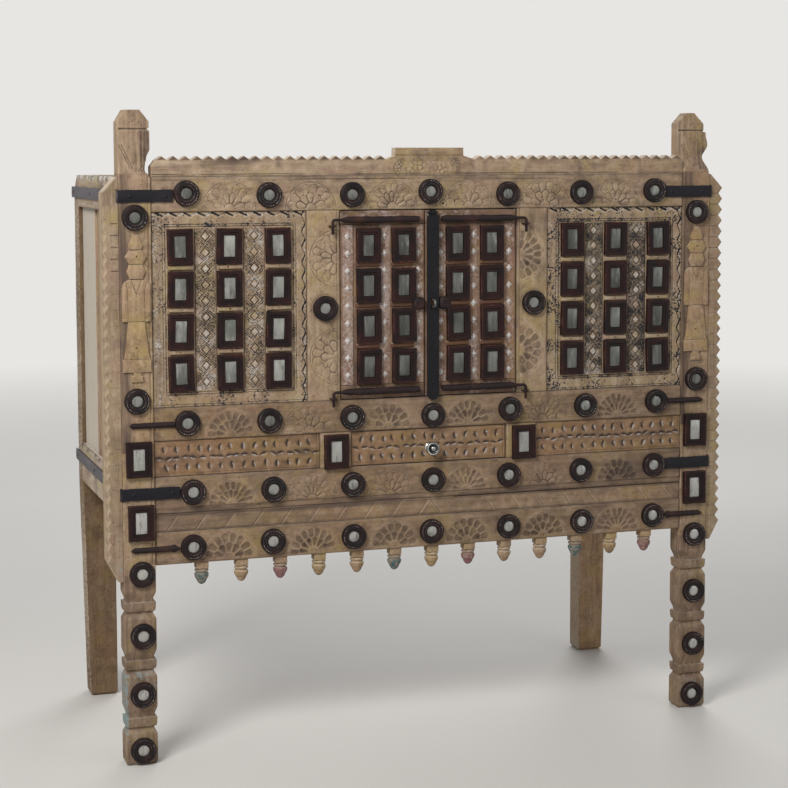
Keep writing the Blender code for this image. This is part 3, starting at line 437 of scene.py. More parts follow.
# Three copies of one mirror at three brightnesses, a painted reflection: brighter on the left panel, posts
# and dividers, darker on the right panel and the doors.
mirror_glass, brighter_reflection_glass, darker_reflection_glass = (
    old_mirror(f"{name}_mirror", light) for name, light in (("cloudy", 1.0), ("clear", 1.3), ("dim", 0.62)))
turquoise = flaking("turquoise_paint", (0.042, 0.098, 0.106), (0.25, 0.2, 0.15), 0.46, 0.6, 0.419)
rose = flaking("rose_paint", (0.19, 0.082, 0.086), (0.27, 0.2, 0.15), 0.46, 0.6, 0.419)
white_dots = flaking("white_dots", (0.52, 0.49, 0.47), (0.3, 0.24, 0.21), 0.5, 0.64)
print("finishes", len(bpy.data.materials))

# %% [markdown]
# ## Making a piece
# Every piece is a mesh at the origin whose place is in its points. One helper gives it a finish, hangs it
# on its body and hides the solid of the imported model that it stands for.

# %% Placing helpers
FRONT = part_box("crest_rail")[0].y
RAIL_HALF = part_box("zigzag_board")[1].x
SIDES = (("left", -1), ("right", 1))


def soften(bm, degrees=38):
    """Shade smooth, but keep the edges that turn sharply."""
    bmesh.ops.recalc_face_normals(bm, faces=bm.faces[:])
    limit = math.radians(degrees)
    for face in bm.faces:
        face.smooth = True
    for edge in bm.edges:
        edge.smooth = edge.calc_face_angle(0.0) < limit


def settle(name, mesh, finish, slot, body, stands_for):
    """Link a finished mesh as a piece of the chest."""
    mesh.materials.append(finish)
    made = linked(name, mesh)
    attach(made, body)
    if stands_for:
        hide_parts(*stands_for)
    return made


def piece(name, bm, finish, slot, body="case", stands_for=()):
    soften(bm)
    return settle(name, meshed(name, bm), finish, slot, body, stands_for)


def stamp(bm, pattern, at, turn=0.0):
    """Set a copy of a small finished shape at a point, turned a little about Y."""
    before = len(bm.verts)
    bm.from_mesh(pattern)
    bm.verts.ensure_lookup_table()
    fresh_points = bm.verts[before:]
    bmesh.ops.rotate(bm, verts=fresh_points, cent=(0, 0, 0), matrix=Matrix.Rotation(turn, 3, "Y"))
    bmesh.ops.translate(bm, verts=fresh_points, vec=at)


def pattern(name, bm, chips=None):
    """Keep a small shape to stamp from, with its chip attribute."""
    soften(bm)
    layer = bm.verts.layers.float.new("chip")
    for vert in bm.verts:
        vert[layer] = chips(vert.co) if chips else 0.0
    return meshed(name, bm)


def stamped(name, places, shape, finish, slot, body="case", seed=1, sway=0.012):
    """One piece of many stamped copies, each a hair out of true."""
    rng = np.random.default_rng(seed)
    bm = bmesh.new()
    bm.verts.layers.float.new("chip")
    for place in places:
        stamp(bm, shape, place, rng.normal(0.0, sway))
    return settle(name, meshed(name, bm), finish, slot, body, ())


print("front plane", round(FRONT, 4), "rail half length", round(RAIL_HALF, 4))

# %% [markdown]
# ## Carving a board
# A carved board starts as a fine grid that stands upright. A relief function says how deep the carver went at
# each point, the rim is extruded to the back and closed, and the same function leaves its dirt, painted shade
# and paint on the points. That keeps the carving real, so light from any side finds it.

# %% The carved board
CELL = 0.0017


def mottle(x, z, size, seed=0):
    """Smooth seeded noise from 0 to 1."""
    table = np.random.default_rng(seed).random((97, 89))
    u, v = x / size + 40.0, z / size + 40.0
    i, j = np.floor(u).astype(int), np.floor(v).astype(int)
    f, g = u - i, v - j
    f, g = f * f * (3 - 2 * f), g * g * (3 - 2 * g)
    low = table[i % 97, j % 89] * (1 - f) + table[(i + 1) % 97, j % 89] * f
    high = table[i % 97, (j + 1) % 89] * (1 - f) + table[(i + 1) % 97, (j + 1) % 89] * f
    return low * (1 - g) + high * g


def stepped(keys, cell):
    """Places from the first key to the last, a cell apart at most and exactly on each key."""
    runs = [np.linspace(a, b, max(1, round((b - a) / cell)), endpoint=False) for a, b in zip(keys, keys[1:])]
    return np.append(np.concatenate(runs), keys[-1])


def unit(values):
    """Values held between 0 and 1."""
    return np.clip(values, 0.0, 1.0)


def stand_up(bm):
    """Turn a shape made flat so that its top looks along -Y."""
    bmesh.ops.rotate(bm, verts=bm.verts[:], cent=(0, 0, 0), matrix=Matrix.Rotation(math.pi / 2, 3, "X"))


class Carving:
    """How deep a board is cut at each point, and the marks on it, with dirt and painted shade in the cuts."""

    def __init__(self, x, z):
        self.x, self.z = x, z
        self.depth = np.zeros_like(x)
        self.marks = {key: np.zeros_like(x) for key in ("dirt", "soot", "pale", "paint", "ink")}

    def cloud(self, size, seed, x_times=1, z_times=1):
        """Smooth noise over the board, which may be squeezed along X or Z."""
        return mottle(self.x * x_times, self.z * z_times, size, seed)

    def cut(self, distance, wide, deep, worn=0.0, only=True, **marks):
        """A V cut along a line that lies at a distance from each point, with pale worn lips."""
        distance = np.where(only, distance, 1.0)
        share = unit(1.0 - distance / (wide / 2))
        share = share * share * (3 - 2 * share)
        self.depth = np.maximum(self.depth, deep * share)
        # The marks grow towards the bottom of the cut, where the darkening is dirt and painted shade.
        for key, value in marks.items():
            self.marks[key] = np.maximum(self.marks[key], value * share)
        if worn:
            lip = unit(1.0 - np.abs(distance / (wide / 2) - 1.35) / 0.55)
            self.marks["pale"] = np.maximum(self.marks["pale"], worn * lip)

    def add(self, where, **marks):
        for key, value in marks.items():
            self.marks[key] = unit(self.marks[key] + value * where)

    def stain(self, power, size, seed, x_times=1, z_times=1, **marks):
        """Clouds of marks; a higher power leaves fewer of them."""
        self.add(self.cloud(size, seed, x_times, z_times) ** power, **marks)

    def segment(self, start, end):
        """Distance from each point to a straight line between two points."""
        dx, dz = end[0] - start[0], end[1] - start[1]
        share = ((self.x - start[0]) * dx + (self.z - start[1]) * dz) / (dx * dx + dz * dz)
        share = unit(share)
        return np.hypot(self.x - start[0] - share * dx, self.z - start[1] - share * dz)

    def hole(self, x, z, radius=0.0017):
        self.cut(np.hypot(self.x - x, self.z - z), 2.6 * radius, 0.0022, dirt=1.0)

    def wear(self, x0, x1, z0, z1, along="X", seed=3):
        """Rounded rim and the shallow waves that dry wood gets along its grain."""
        rim = np.minimum(np.minimum(self.x - x0, x1 - self.x), np.minimum(self.z - z0, z1 - self.z))
        ragged = 0.0022 + 0.0035 * self.cloud(0.03, seed) ** 2
        edge = unit(1.0 - rim / ragged) ** 2
        self.depth += 0.0013 * edge
        self.add(edge, dirt=0.45)
        u, v = (self.x * 0.12, self.z) if along == "X" else (self.x, self.z * 0.12)
        for size, number in ((0.006, seed), (0.019, seed + 1)):
            self.depth += 0.0005 * mottle(u, v, size, number)
        return self


def carved(name, across, rise, face, thick, relief, finish, slot, body="case", stands_for=(), cell=CELL,
           warp=None, draft=(0.0, 0.0), turn=None, columns=None, rows=None):
    """A board that looks along -Y, cut by a relief, with its rim closed to a plain back."""
    columns = stepped(across, cell) if columns is None else columns
    rows = stepped(rise, cell) if rows is None else rows
    bm = bmesh.new()
    bmesh.ops.create_grid(bm, x_segments=len(columns) - 1, y_segments=len(rows) - 1, size=0.5)
    stand_up(bm)
    rim = [edge for edge in bm.edges if edge.is_boundary]
    for face_made in bm.faces:
        face_made.smooth = True
    for edge in rim:
        edge.smooth = False
    grown = bmesh.ops.extrude_edge_only(bm, edges=rim)["geom"]
    back = [item for item in grown if isinstance(item, bmesh.types.BMVert)]
    back_rim = [item for item in grown if isinstance(item, bmesh.types.BMEdge)]
    bmesh.ops.translate(bm, verts=back, vec=(0, 1, 0))
    for edge in back_rim:
        edge.smooth = False
    bmesh.ops.edgeloop_fill(bm, edges=back_rim)
    bmesh.ops.recalc_face_normals(bm, faces=bm.faces[:])
    mesh = meshed(name, bm)

    points = np.empty(len(mesh.vertices) * 3)
    mesh.vertices.foreach_get("co", points)
    points = points.reshape(-1, 3)
    s, t, behind = points[:, 0] + 0.5, points[:, 2] + 0.5, points[:, 1] > 0.5
    x = columns[np.round(s * (len(columns) - 1)).astype(int)]
    z = rows[np.round(t * (len(rows) - 1)).astype(int)]
    if warp:
        x, z = warp(x, z, s, t, behind)
    work = relief(Carving(x, z))
    x = x + np.where(behind, draft[0] * (1 - s) - draft[1] * s, 0.0)
    points = np.stack([x, np.where(behind, face + thick, face + work.depth), z], axis=1)
    if turn is not None:
        points = points @ np.array(turn.to_3x3()).T
    mesh.vertices.foreach_set("co", points.ravel())
    for key, values in work.marks.items():
        layer = mesh.attributes.new(key, "FLOAT", "POINT")
        layer.data.foreach_set("value", np.where(behind, 0.0, values).astype(np.float32))
    mesh.update()
    return settle(name, mesh, finish, slot, body, stands_for)


def instead_of(solid, ending, face, relief, about, finish, slot, **more):
    """A carved board in the place of a solid, with its front in a given plane."""
    low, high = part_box(solid)
    sides = low.x, high.x, low.z, high.z
    return carved(f"{solid}_{ending}", sides[:2], sides[2:], face, high.y - face, relief(about, *sides),
                  finish, slot, stands_for=(solid,), **more)


print("carving cell", CELL)

# %% [markdown]
# ## The fan
# The rails carry half rosettes between their mirrors: a hub, a ring of inner petals and a ring of outer
# petals with rounded ends. Working in angle and radius, each petal's border is a simple distance.

# %% The fan motif
def fan(work, x, z, radius, turn=0.0, petals=8, hollow=0.0, line=0.0016, grime_and_shade=0.8, ridge=0.0, stain=0.0,
        worn=0.5, seed=0):
    """A half rosette under an arc, either drawn in fine cuts or hollowed out so that its borders stay as
    ridges."""
    dx, dz = work.x - x, work.z - z
    u = math.cos(turn) * dx + math.sin(turn) * dz
    v = math.cos(turn) * dz - math.sin(turn) * dx
    r, angle = np.hypot(u, v), np.arctan2(v, u)
    inside = (v > 0.0) & (r < radius * 1.06)
    ring, hub = 0.6 * radius, 0.2 * radius

    def petal(count, low, high, bow):
        step = math.pi / count
        off = np.abs(angle / step - np.floor(angle / step) - 0.5) * 2
        tip = high * (1.0 - bow * off ** 2)
        within = inside & (r > low) & (r < tip)
        gap = np.where(within, r * step / 2 * (1 - off), 1.0)
        return off, within, np.minimum(np.where(inside, np.abs(r - tip), 1.0), gap)
    outer_off, outer_in, outer = petal(petals, ring * 0.97, radius * 0.93, 0.1)
    inner_off, inner_in, inner = petal(petals - 3, hub, ring, 0.2)
    outer = np.minimum(outer, np.where(inside, np.abs(r - radius), 1.0))
    inner = np.minimum(inner, np.where(inside, np.abs(r - hub), 1.0))
    fade = 0.25 + 0.75 * unit(2.4 * work.cloud(0.016, seed + 7) - 0.5)
    patches = 0.25 + 0.75 * work.cloud(0.01, seed + 8)
    if hollow:
        for off, within, border, share in ((outer_off, outer_in, outer, 0.75),
                                           (inner_off, inner_in, inner, 1.0)):
            scoop = unit((border - 0.0008) / 0.003) * within
            work.depth += hollow * scoop
            work.add(scoop * patches, dirt=stain * share)
            work.add(unit(1 - border / 0.002) * (0.4 + 0.6 * fade), pale=ridge)
        return
    work.cut(outer / fade, 0.0032, line * 0.8, worn=worn, dirt=grime_and_shade * 0.75)
    work.cut(inner / fade, 0.004, line * 1.2, worn=worn, dirt=grime_and_shade)
    work.depth += np.where(outer_in, 0.0012 * outer_off ** 2, 0.0)
    work.depth += np.where(inner_in, 0.0014 * inner_off ** 2, 0.0)
    work.add(inner_in * (1 - inner_off ** 2) * patches, dirt=stain)
    work.add(inner_in * work.cloud(0.014, seed + 10) ** 2, pale=0.35)


def wavering(work, level, x0, x1, wide=0.003, deep=0.0013, seed=5, grime_and_shade=0.9, gaps=0.0):
    """A long line cut by hand, which wanders a little and fades here and there."""
    drift = 0.0016 * (mottle(work.x, work.x * 0, 0.12, seed) - 0.5)
    strength = unit((mottle(work.x, work.x * 0, 0.07, seed + 1) - gaps) * 3.0)
    off = np.where((work.x > x0) & (work.x < x1), np.abs(work.z - level - drift), 1.0)
    work.cut(off / np.maximum(strength, 0.05), wide, deep, dirt=grime_and_shade)


print("fan and line cuts")

# %% [markdown]
# ## The four rails
# Each rail holds seven round mirrors, and fans fill the gaps. They are drawn in fine lines at the top, some
# are hollowed out on the middle rails, and all are hollowed at the bottom, where the drops hang.

# %% Rails
ROUNDELS, DROPS, DROP_PITCH = 7, 13, 0.091
RAIL_RING_Z = {"top_rail": 1.2665, "middle_rail": 0.7605, "lower_rail": 0.602, "bottom_rail": 0.4835}
BOTTOM_RAIL_LOW = 0.4473
PITCH = 2 * (RAIL_HALF - 0.076) / (ROUNDELS - 1)
ROUNDEL_X = [PITCH * (number - 3) for number in range(ROUNDELS)]
GAP_X = [PITCH * (number - 2.5) for number in range(ROUNDELS - 1)]
RAIL_T = 0.036
FAN_ROWS = {
    "top_rail": dict(radius=0.06, lift=0.005, kinds="llllll", line=0.0021, grime_and_shade=0.85),
    "middle_rail": dict(radius=0.06, lift=0.006, kinds="hlhhlh", line=0.0016, grime_and_shade=0.55),
    "lower_rail": dict(radius=0.058, lift=0.013, kinds="hllhlh", line=0.0017, grime_and_shade=0.6),
    "bottom_rail": dict(radius=0.06, lift=0.006, kinds="hhhhhh", line=0.002, grime_and_shade=0.4),
}


def drop_x(number):
    """Where a drop hangs; the maker set the whole row a little to the right."""
    return DROP_PITCH * (number - DROPS // 2) + 0.009


def rail_relief(name, z0, z1, seed):
    row = FAN_ROWS[name]

    def relief(work):
        rng = np.random.default_rng(seed)
        for number, (x, kind) in enumerate(zip(GAP_X, row["kinds"])):
            look = dict(line=row["line"], grime_and_shade=row["grime_and_shade"] * rng.uniform(0.7, 1.2), stain=0.15)
            if kind == "h":
                look = dict(hollow=0.0018, stain=rng.uniform(0.6, 0.9) + 0.2 * (name == "bottom_rail"),
                            ridge=0.85)
            fan(work, x + rng.normal(0, 0.003), z0 + row["lift"], row["radius"] * rng.uniform(0.96, 1.04),
                rng.normal(0, 0.05), petals=int(rng.integers(8, 11)), seed=20 * seed + number, **look)
        if name == "top_rail":
            wavering(work, z1 - 0.0075, -RAIL_HALF, RAIL_HALF, seed=seed, gaps=0.15)
            work.add(unit((work.z - z1 + 0.0075) / 0.002) * work.cloud(0.07, 19), soot=0.45)
            work.cut(np.abs(np.hypot(work.x - 0.0335, work.z - 1.2405) - 0.0085), 0.004, 0.0012, dirt=0.5,
                     worn=0.7)
            work.cut(np.hypot(work.x - 0.0335, work.z - 1.2405), 0.009, 0.008, dirt=1.0)
        if name == "lower_rail":
            wavering(work, z0 + 0.0125, -RAIL_HALF, RAIL_HALF, wide=0.004, deep=0.0018, seed=seed)
            # The sunk band along the foot is darkened: soot and painted shade under the groove.
            low = unit((z0 + 0.0125 - work.z) / 0.003)
            work.depth += 0.0015 * low
            work.add(low * work.cloud(0.11, seed), soot=0.9)
            work.add(unit(1 - np.hypot(work.x - 0.505, (work.z - 0.598) * 2) / 0.09), dirt=0.6, soot=0.7)
        if name == "bottom_rail":
            for number in range(DROPS):
                work.hole(drop_x(number) + rng.normal(0, 0.003), z0 + 0.0065, 0.002)
        for side in (-1, 1):
            work.cut(np.abs(work.x - side * (RAIL_HALF - 0.001)), 0.003, 0.001, dirt=0.7)
        for _ in range(9):
            work.hole(rng.uniform(-0.6, 0.6), rng.choice((z0 + 0.008, z1 - 0.008)), 0.0014)
        work.stain(3, 0.021, seed + 7, dirt=0.35)
        work.stain(2, 0.085, seed + 8, 1, 3, soot=0.45 if name != "top_rail" else 0.25)
        # Darker towards the right end: painted shade where the light falls off.
        work.add(unit(work.x / 0.6) * (0.5 + work.cloud(0.04, seed + 6, 1, 2)), soot=0.22)
        work.stain(2, 0.03, seed + 9, 1, 2, pale=0.45)
        work.stain(3, 0.011, seed + 10, 1, 1.5, soot=0.55)
        return work.wear(-RAIL_HALF, RAIL_HALF, z0, z1, seed=seed)
    return relief


for number, name in enumerate(FAN_ROWS):
    low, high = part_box(name)
    base = BOTTOM_RAIL_LOW if name == "bottom_rail" else low.z
    carved(f"{name}_carved", (-RAIL_HALF, RAIL_HALF), (base, high.z), FRONT, RAIL_T,
           rail_relief(name, base, high.z, 11 + number), honey_x if name == "top_rail" else brown_x,
           "honey_wood", stands_for=(name,))
print("rails", len(FAN_ROWS), "pitch", round(PITCH, 4))

# %% [markdown]
# ## The slanted board
# Between the two lowest rails runs a plain board with slanted cuts. They lean towards the middle from both
# ends and meet in a peak, so a line's lean only depends on its side.

# %% Slanted board
def slanted_relief(work):
    low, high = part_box("zigzag_board")
    for number in range(10):
        reach = 0.0015 + 0.0655 * number
        for side in (-1, 1):
            start = (side * reach, high.z - 0.002)
            end = (side * (reach + 0.027), low.z + 0.002)
            work.cut(work.segment(start, end), 0.0036, 0.0018, dirt=0.6, worn=0.6)
            beside = work.segment((start[0] + 0.0018, start[1]), (end[0] + 0.0018, end[1]))
            work.add(unit(1.2 - beside / 0.002), pale=1.0)
            if number % 3 == 1:
                start, end = (start[0] + side * 0.006, start[1]), (end[0] + side * 0.006, end[1])
                work.cut(work.segment(start, end), 0.0028, 0.001, dirt=0.5, worn=0.5)
    work.cut(np.abs(work.z - low.z - 0.0035), 0.003, 0.001, dirt=0.5)
    work.cut(np.abs(work.z - high.z + 0.0045), 0.004, 0.0014, dirt=0.7)
    work.cut(np.abs(work.z - high.z + 0.001), 0.005, 0.0025, dirt=1.0, only=work.x > 0.06)
    shadow = unit((work.z - high.z + 0.013) / 0.006)
    work.add(shadow * (0.35 + work.cloud(0.09, 33)) * np.clip((0.05 - work.x) / 0.2, 0.25, 1), soot=0.9)
    work.stain(2, 0.07, 31, 1, 2, soot=0.6)
    work.add(unit((-0.15 - work.x) / 0.3), soot=0.3)
    work.stain(2, 0.022, 34, soot=0.35)
    work.stain(3, 0.015, 35, pale=0.8)
    return work.wear(low.x, high.x, low.z, high.z, seed=32)


low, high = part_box("zigzag_board")
carved("slanted_board", (low.x, high.x), (low.z, high.z), low.y, high.y - low.y, slanted_relief, brown_x,
       "honey_wood", stands_for=("zigzag_board",))
print("slanted board", [round(value, 4) for value in (low.z, high.z)])

# %% [markdown]
# ## The crest
# The crest is one board whose top is sawn into teeth, with a raised block on a low mound in the middle. The
# grid's rows are drawn up to the sawn line, so teeth stay crisp and the carving below stays on the board.

# %% Crest rail
CREST_LOW, CREST_VALLEY, TOOTH_H = 1.3053, 1.341, 0.009
BLOCK_HALF, CREST_TEETH = 0.082, 20
CREST_SIDES = {-1: (0.104, 0.0105), 1: (0.11, 0.0045)}


def crest_line(x):
    """Height of the sawn top at each place along the crest."""
    reach = np.abs(x)
    mound = np.where(x < 0, CREST_SIDES[-1][0], CREST_SIDES[1][0])
    last = RAIL_HALF - np.where(x < 0, CREST_SIDES[-1][1], CREST_SIDES[1][1])
    phase = (last - reach) * CREST_TEETH / (last - mound)
    teeth = CREST_VALLEY + TOOTH_H * (1 - np.abs(phase - np.floor(phase) - 0.5) * 2)
    line = np.where(reach > last, CREST_VALLEY - 0.014 * (reach - last) / (RAIL_HALF - last), teeth)
    line = np.where(reach < mound, CREST_VALLEY + TOOTH_H * (mound - reach) / (mound - BLOCK_HALF), line)
    return np.where(reach < BLOCK_HALF, CREST_VALLEY + TOOTH_H + 0.018, line)


def crest_warp(x, z, s, t, behind):
    return x, CREST_LOW + (crest_line(x) - CREST_LOW) * t


def crest_relief(work):
    wavering(work, CREST_LOW + 0.004, -RAIL_HALF, RAIL_HALF, wide=0.0035, deep=0.0015, seed=41, gaps=0.1)
    foot = np.abs(work.z - CREST_VALLEY - TOOTH_H - 0.001)
    work.cut(np.where(np.abs(work.x) < BLOCK_HALF + 0.004, foot, 1.0), 0.003, 0.0015, dirt=0.9)
    for x, z, radius, turn in ((-0.028, 1.312, 0.03, 0.5), (0.02, 1.313, 0.027, -0.6),
                               (-0.066, 1.322, 0.02, 1.2), (0.056, 1.324, 0.019, -1.1)):
        fan(work, x, z, radius, turn, petals=6, line=0.0013, grime_and_shade=0.6, worn=0.45)
    for number in range(14):
        x = -0.6 + 0.042 * number
        work.cut(work.segment((x, 1.3325), (x + 0.012, 1.3335)), 0.002, 0.0006, dirt=0.3)
    under = crest_line(work.x) - work.z
    beside = np.abs(work.x) > 0.1
    tooth = unit((work.z - CREST_VALLEY + 0.001) / 0.003) * unit((under - 0.0012) / 0.001) * beside
    work.add(tooth * unit(1.8 * work.cloud(0.05, 44) - 0.1), soot=0.85, dirt=0.45)
    below = unit(1 - np.abs(work.z - CREST_VALLEY + 0.008) / 0.007) * beside * (work.x < -0.1)
    work.add(below * work.cloud(0.05, 45, 1, 0.3), pale=0.8, soot=0.2)
    left = unit((-0.4 - work.x) / 0.05) * unit((work.z - 1.325) / 0.008)
    work.add(left * work.cloud(0.022, 48), soot=0.75)
    work.add(left * (1 - work.cloud(0.022, 48)) ** 2, pale=0.9)
    work.stain(3, 0.09, 42, 1, 3, soot=0.5)
    work.add(work.cloud(0.013, 46) ** 2 * beside, pale=0.5)
    work.stain(3, 0.017, 47, soot=0.7)
    # A pale line along the sawn top: painted highlight on the teeth's edges.
    work.add(unit(1 - under / 0.0014), pale=1.0)
    return work.wear(-RAIL_HALF, RAIL_HALF, CREST_LOW, 1.5, seed=43)


low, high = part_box("crest_rail")
crest_keys = [-RAIL_HALF, -BLOCK_HALF - 0.0002, -BLOCK_HALF + 0.0002, BLOCK_HALF - 0.0002,
              BLOCK_HALF + 0.0002, RAIL_HALF]
for side, (mound, end) in CREST_SIDES.items():
    step = (RAIL_HALF - end - mound) / CREST_TEETH / 2
    crest_keys += [side * (mound + step * number) for number in range(2 * CREST_TEETH + 1)]
carved("crest_toothed", (-RAIL_HALF, RAIL_HALF), (CREST_LOW, high.z), FRONT, high.y - low.y, crest_relief,
       honey_x, "honey_wood", stands_for=("crest_rail",), cell=0.0016, warp=crest_warp,
       columns=stepped(sorted(crest_keys), 0.0018))
print("crest top", round(high.z, 4), "teeth", 2 * CREST_TEETH)

# %% [markdown]
# ## Muntins and dividers
# The upright muntins beside the doors carry a half rosette above and below their mirror. The short dividers
# beside the drawer are plain, because a mirror frame covers them.

# %% Muntins and dividers
MUNTIN_X, MUNTIN_INNER, DIVIDER_X, DOOR_MIDDLE = 0.2534, 0.2215, 0.227, 1.0125


def muntin_relief(side, x0, x1, z0, z1):
    look = dict(grime_and_shade=1.0, stain=0.05, line=0.002) if side < 0 else dict(hollow=0.0016, stain=0.85, ridge=0.8)

    def relief(work):
        inner = side * MUNTIN_INNER
        fan(work, inner, z1 - 0.108, 0.064, side * -math.pi / 2, petals=9, seed=500 + side, **look)
        fan(work, inner, z0 + 0.1, 0.064, side * -math.pi / 2, petals=8, seed=510 + side, **look)
        work.cut(np.abs(work.x - inner), 0.0028, 0.0012, dirt=0.6, worn=0.3)
        work.cut(np.abs(work.x - side * 0.2175), 0.002, 0.0008, dirt=0.4)
        work.cut(np.abs(np.hypot(work.x - side * MUNTIN_X - 0.003, work.z - 1.0075) - 0.031), 0.004, 0.0008,
                 dirt=0.5)
        work.hole(side * 0.245, z0 + 0.078, 0.0022)
        work.stain(3, 0.05, 50 + side, dirt=0.3)
        work.stain(2, 0.03, 53 + side, 2, 0.5, soot=0.25 if side < 0 else 0.7)
        work.stain(2, 0.014, 55 + side, pale=0.4)
        return work.wear(x0, x1, z0, z1, "Z", seed=51 + side)
    return relief


def divider_relief(seed, *sides):
    return lambda work: work.wear(*sides, "Z", seed=seed)


for label, side in SIDES:
    instead_of(f"muntin_{label}", "carved", FRONT, muntin_relief, side, muntin_z, "honey_wood")
    instead_of(f"divider_{label}", "worn", FRONT, divider_relief, 56, muntin_z, "honey_wood", cell=0.003)
print("muntins and dividers")

# %% [markdown]
# ## Chip carved fronts
# The drawer and the fixed panels beside it carry three rows of leaf-shaped chips. One leaf is a cut whose
# depth falls off across its width, and the rows only differ in how the leaves lean.

# %% Chip carved fronts
def leaf(work, x, z, long, wide, lean, deep=0.003):
    """A leaf-shaped chip with a deep middle: one flank darkened with dirt and painted shade, the other chalky
    paint with a painted highlight, in an outline dark on the shaded side and pale on the lit side.
    """
    u = (work.x - x) * math.cos(lean) + (work.z - z) * math.sin(lean)
    v = (work.z - z) * math.cos(lean) - (work.x - x) * math.sin(lean)
    half = wide / 2 * unit(1 - (2 * u / long) ** 2)
    share = np.where(half > 0, unit(1 - np.abs(v) / np.maximum(half, 1e-6)), 0.0)
    inside = unit(share * 3)
    work.depth = np.maximum(work.depth, deep * share)
    # One flank darkened with dirt and painted shade, the other chalky paint with a painted highlight.
    work.add(inside * (v > -0.0004), dirt=1.0)
    work.add(inside * (v <= -0.0004) * np.clip(1.6 * work.cloud(0.004, 64), 0.2, 1), paint=0.75)
    # The outline is dark on the shaded side and pale on the lit side: painted shade and painted highlight.
    rim = unit(1 - np.abs(np.abs(v) - half - 0.0012) / 0.0016) * (half > 0)
    work.add(rim * (v > 0), dirt=0.5)
    work.add(rim * (v < 0), pale=0.35)


def chip_relief(seed, x0, x1, z0, z1):
    def relief(work):
        rng = np.random.default_rng(seed)
        middle = (z0 + z1) / 2
        for row in (1, -1):
            for number in range(14):
                x = x0 + (x1 - x0) * (number + 0.9) / 14.8 + rng.normal(0, 0.002)
                lean = math.pi / 2 + rng.choice((-0.42, 0.38, 0.12, -0.15)) + rng.normal(0, 0.08)
                leaf(work, x, middle + row * 0.0205 + rng.normal(0, 0.001), rng.normal(0.017, 0.001), 0.0128,
                     lean)
        for number in range(19):
            x = x0 + (x1 - x0) * (number + 0.5) / 19 + rng.normal(0, 0.002)
            leaf(work, x, middle + rng.normal(0, 0.0012), 0.0175, 0.01, rng.normal(0, 0.25), 0.0026)
        wavering(work, z0 + 0.006, x0 + 0.005, x1 - 0.005, 0.0025, 0.0008, seed, 0.5)
        work.cut(np.abs(work.x - x1 + 0.006), 0.0025, 0.001, dirt=0.6, worn=0.4)
        for _ in range(7):
            work.hole(rng.uniform(x0 + 0.02, x1 - 0.02), middle + rng.choice((-0.012, 0.012, 0.026)), 0.0014)
        band = unit(1 - np.abs(work.z - middle) / 0.012)
        work.add(band * unit(2 * work.cloud(0.05, seed, 1, 3) - 0.5), soot=0.8, dirt=0.3)
        work.stain(2, 0.018, seed + 2, dirt=0.35)
        work.stain(3, 0.012, seed + 3, pale=0.5)
        return work.wear(x0, x1, z0, z1, seed=seed)
    return relief


CHIPPED = {"carved_panel_left": ("case", 61), "carved_panel_right": ("case", 62),
           "drawer_front": ("drawer", 63)}
for name, (body, seed) in CHIPPED.items():
    instead_of(name, "chips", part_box(name)[0].y, chip_relief, seed, chip_x, "carved_wood", body=body,
               cell=0.0015)
print("chip carved fronts", len(CHIPPED))

# %% [markdown]
# ## Mirrored panels
# The panels beside the doors are framed boards with three columns of mirrors. Two carved strips stand between
# the columns: crossing lines make a net, and a small diamond sits in each mesh. Old white and dark paint
# clings to the borders.

# %% Mirrored panels
FRAME_W, FRAME_H, WAVE_RUN = 0.057, 0.079, 0.035
MIRROR_ROWS = [0.8725 + 0.09333 * number for number in range(4)]
PANEL_COLUMNS = (0.3565, 0.4674, 0.5782)


def net(work, x, z0, z1, half, shade, seed):
    """The net of crossing bands with raised diamonds in its meshes."""
    mesh_h = (z1 - z0) / 10
    v = (work.z - z0) / mesh_h - 0.5
    off = np.abs(v - np.round(v))
    u = np.abs(work.x - x)
    strip = (u < half) & (work.z > z0) & (work.z < z1)
    band = np.abs(u - 0.95 * half * (1 - 2 * off)) * 0.72
    fade = 0.35 + 0.65 * work.cloud(0.012, seed + 3)
    work.cut(np.where(strip, np.abs(band - 0.002), 1.0) / fade, 0.0032, 0.0016, worn=0.6, dirt=1.0, ink=0.7)
    diamond = u / 0.01 + off * mesh_h / 0.0112
    work.cut(np.abs(diamond - 1) * 0.007, 0.0038, 0.0024, worn=0.3, dirt=1.0, ink=0.45, only=strip)
    work.depth -= np.where(strip & (diamond < 0.7), 0.0026 * (0.7 - diamond), 0.0)
    lit = 0.45 + 0.55 * mottle(v * 0 + np.round(v), v * 0, 0.7, seed + 4)
    work.add(strip * (diamond < 0.7) * lit, paint=0.72)
    flecks = work.cloud(0.02, seed + 1)
    outside = unit((u - 0.95 * half * (1 - 2 * off) - 0.002) / 0.003)
    work.add(strip * outside * (0.42 + 0.52 * flecks), ink=shade)
    work.add(strip * (1 - outside) * (diamond > 0.9) * (0.22 + 0.48 * flecks), ink=shade)
    work.add(strip * (diamond > 0.9) * (1 - flecks), paint=0.55)
    work.add(strip * work.cloud(0.05, seed + 2), soot=0.25 * shade)
    rails = np.where((work.z > z0) & (work.z < z1), np.abs(u - half - 0.0016), 1.0)
    work.cut(rails, 0.0034, 0.0022, worn=0.8, dirt=0.95, ink=0.75 * shade)


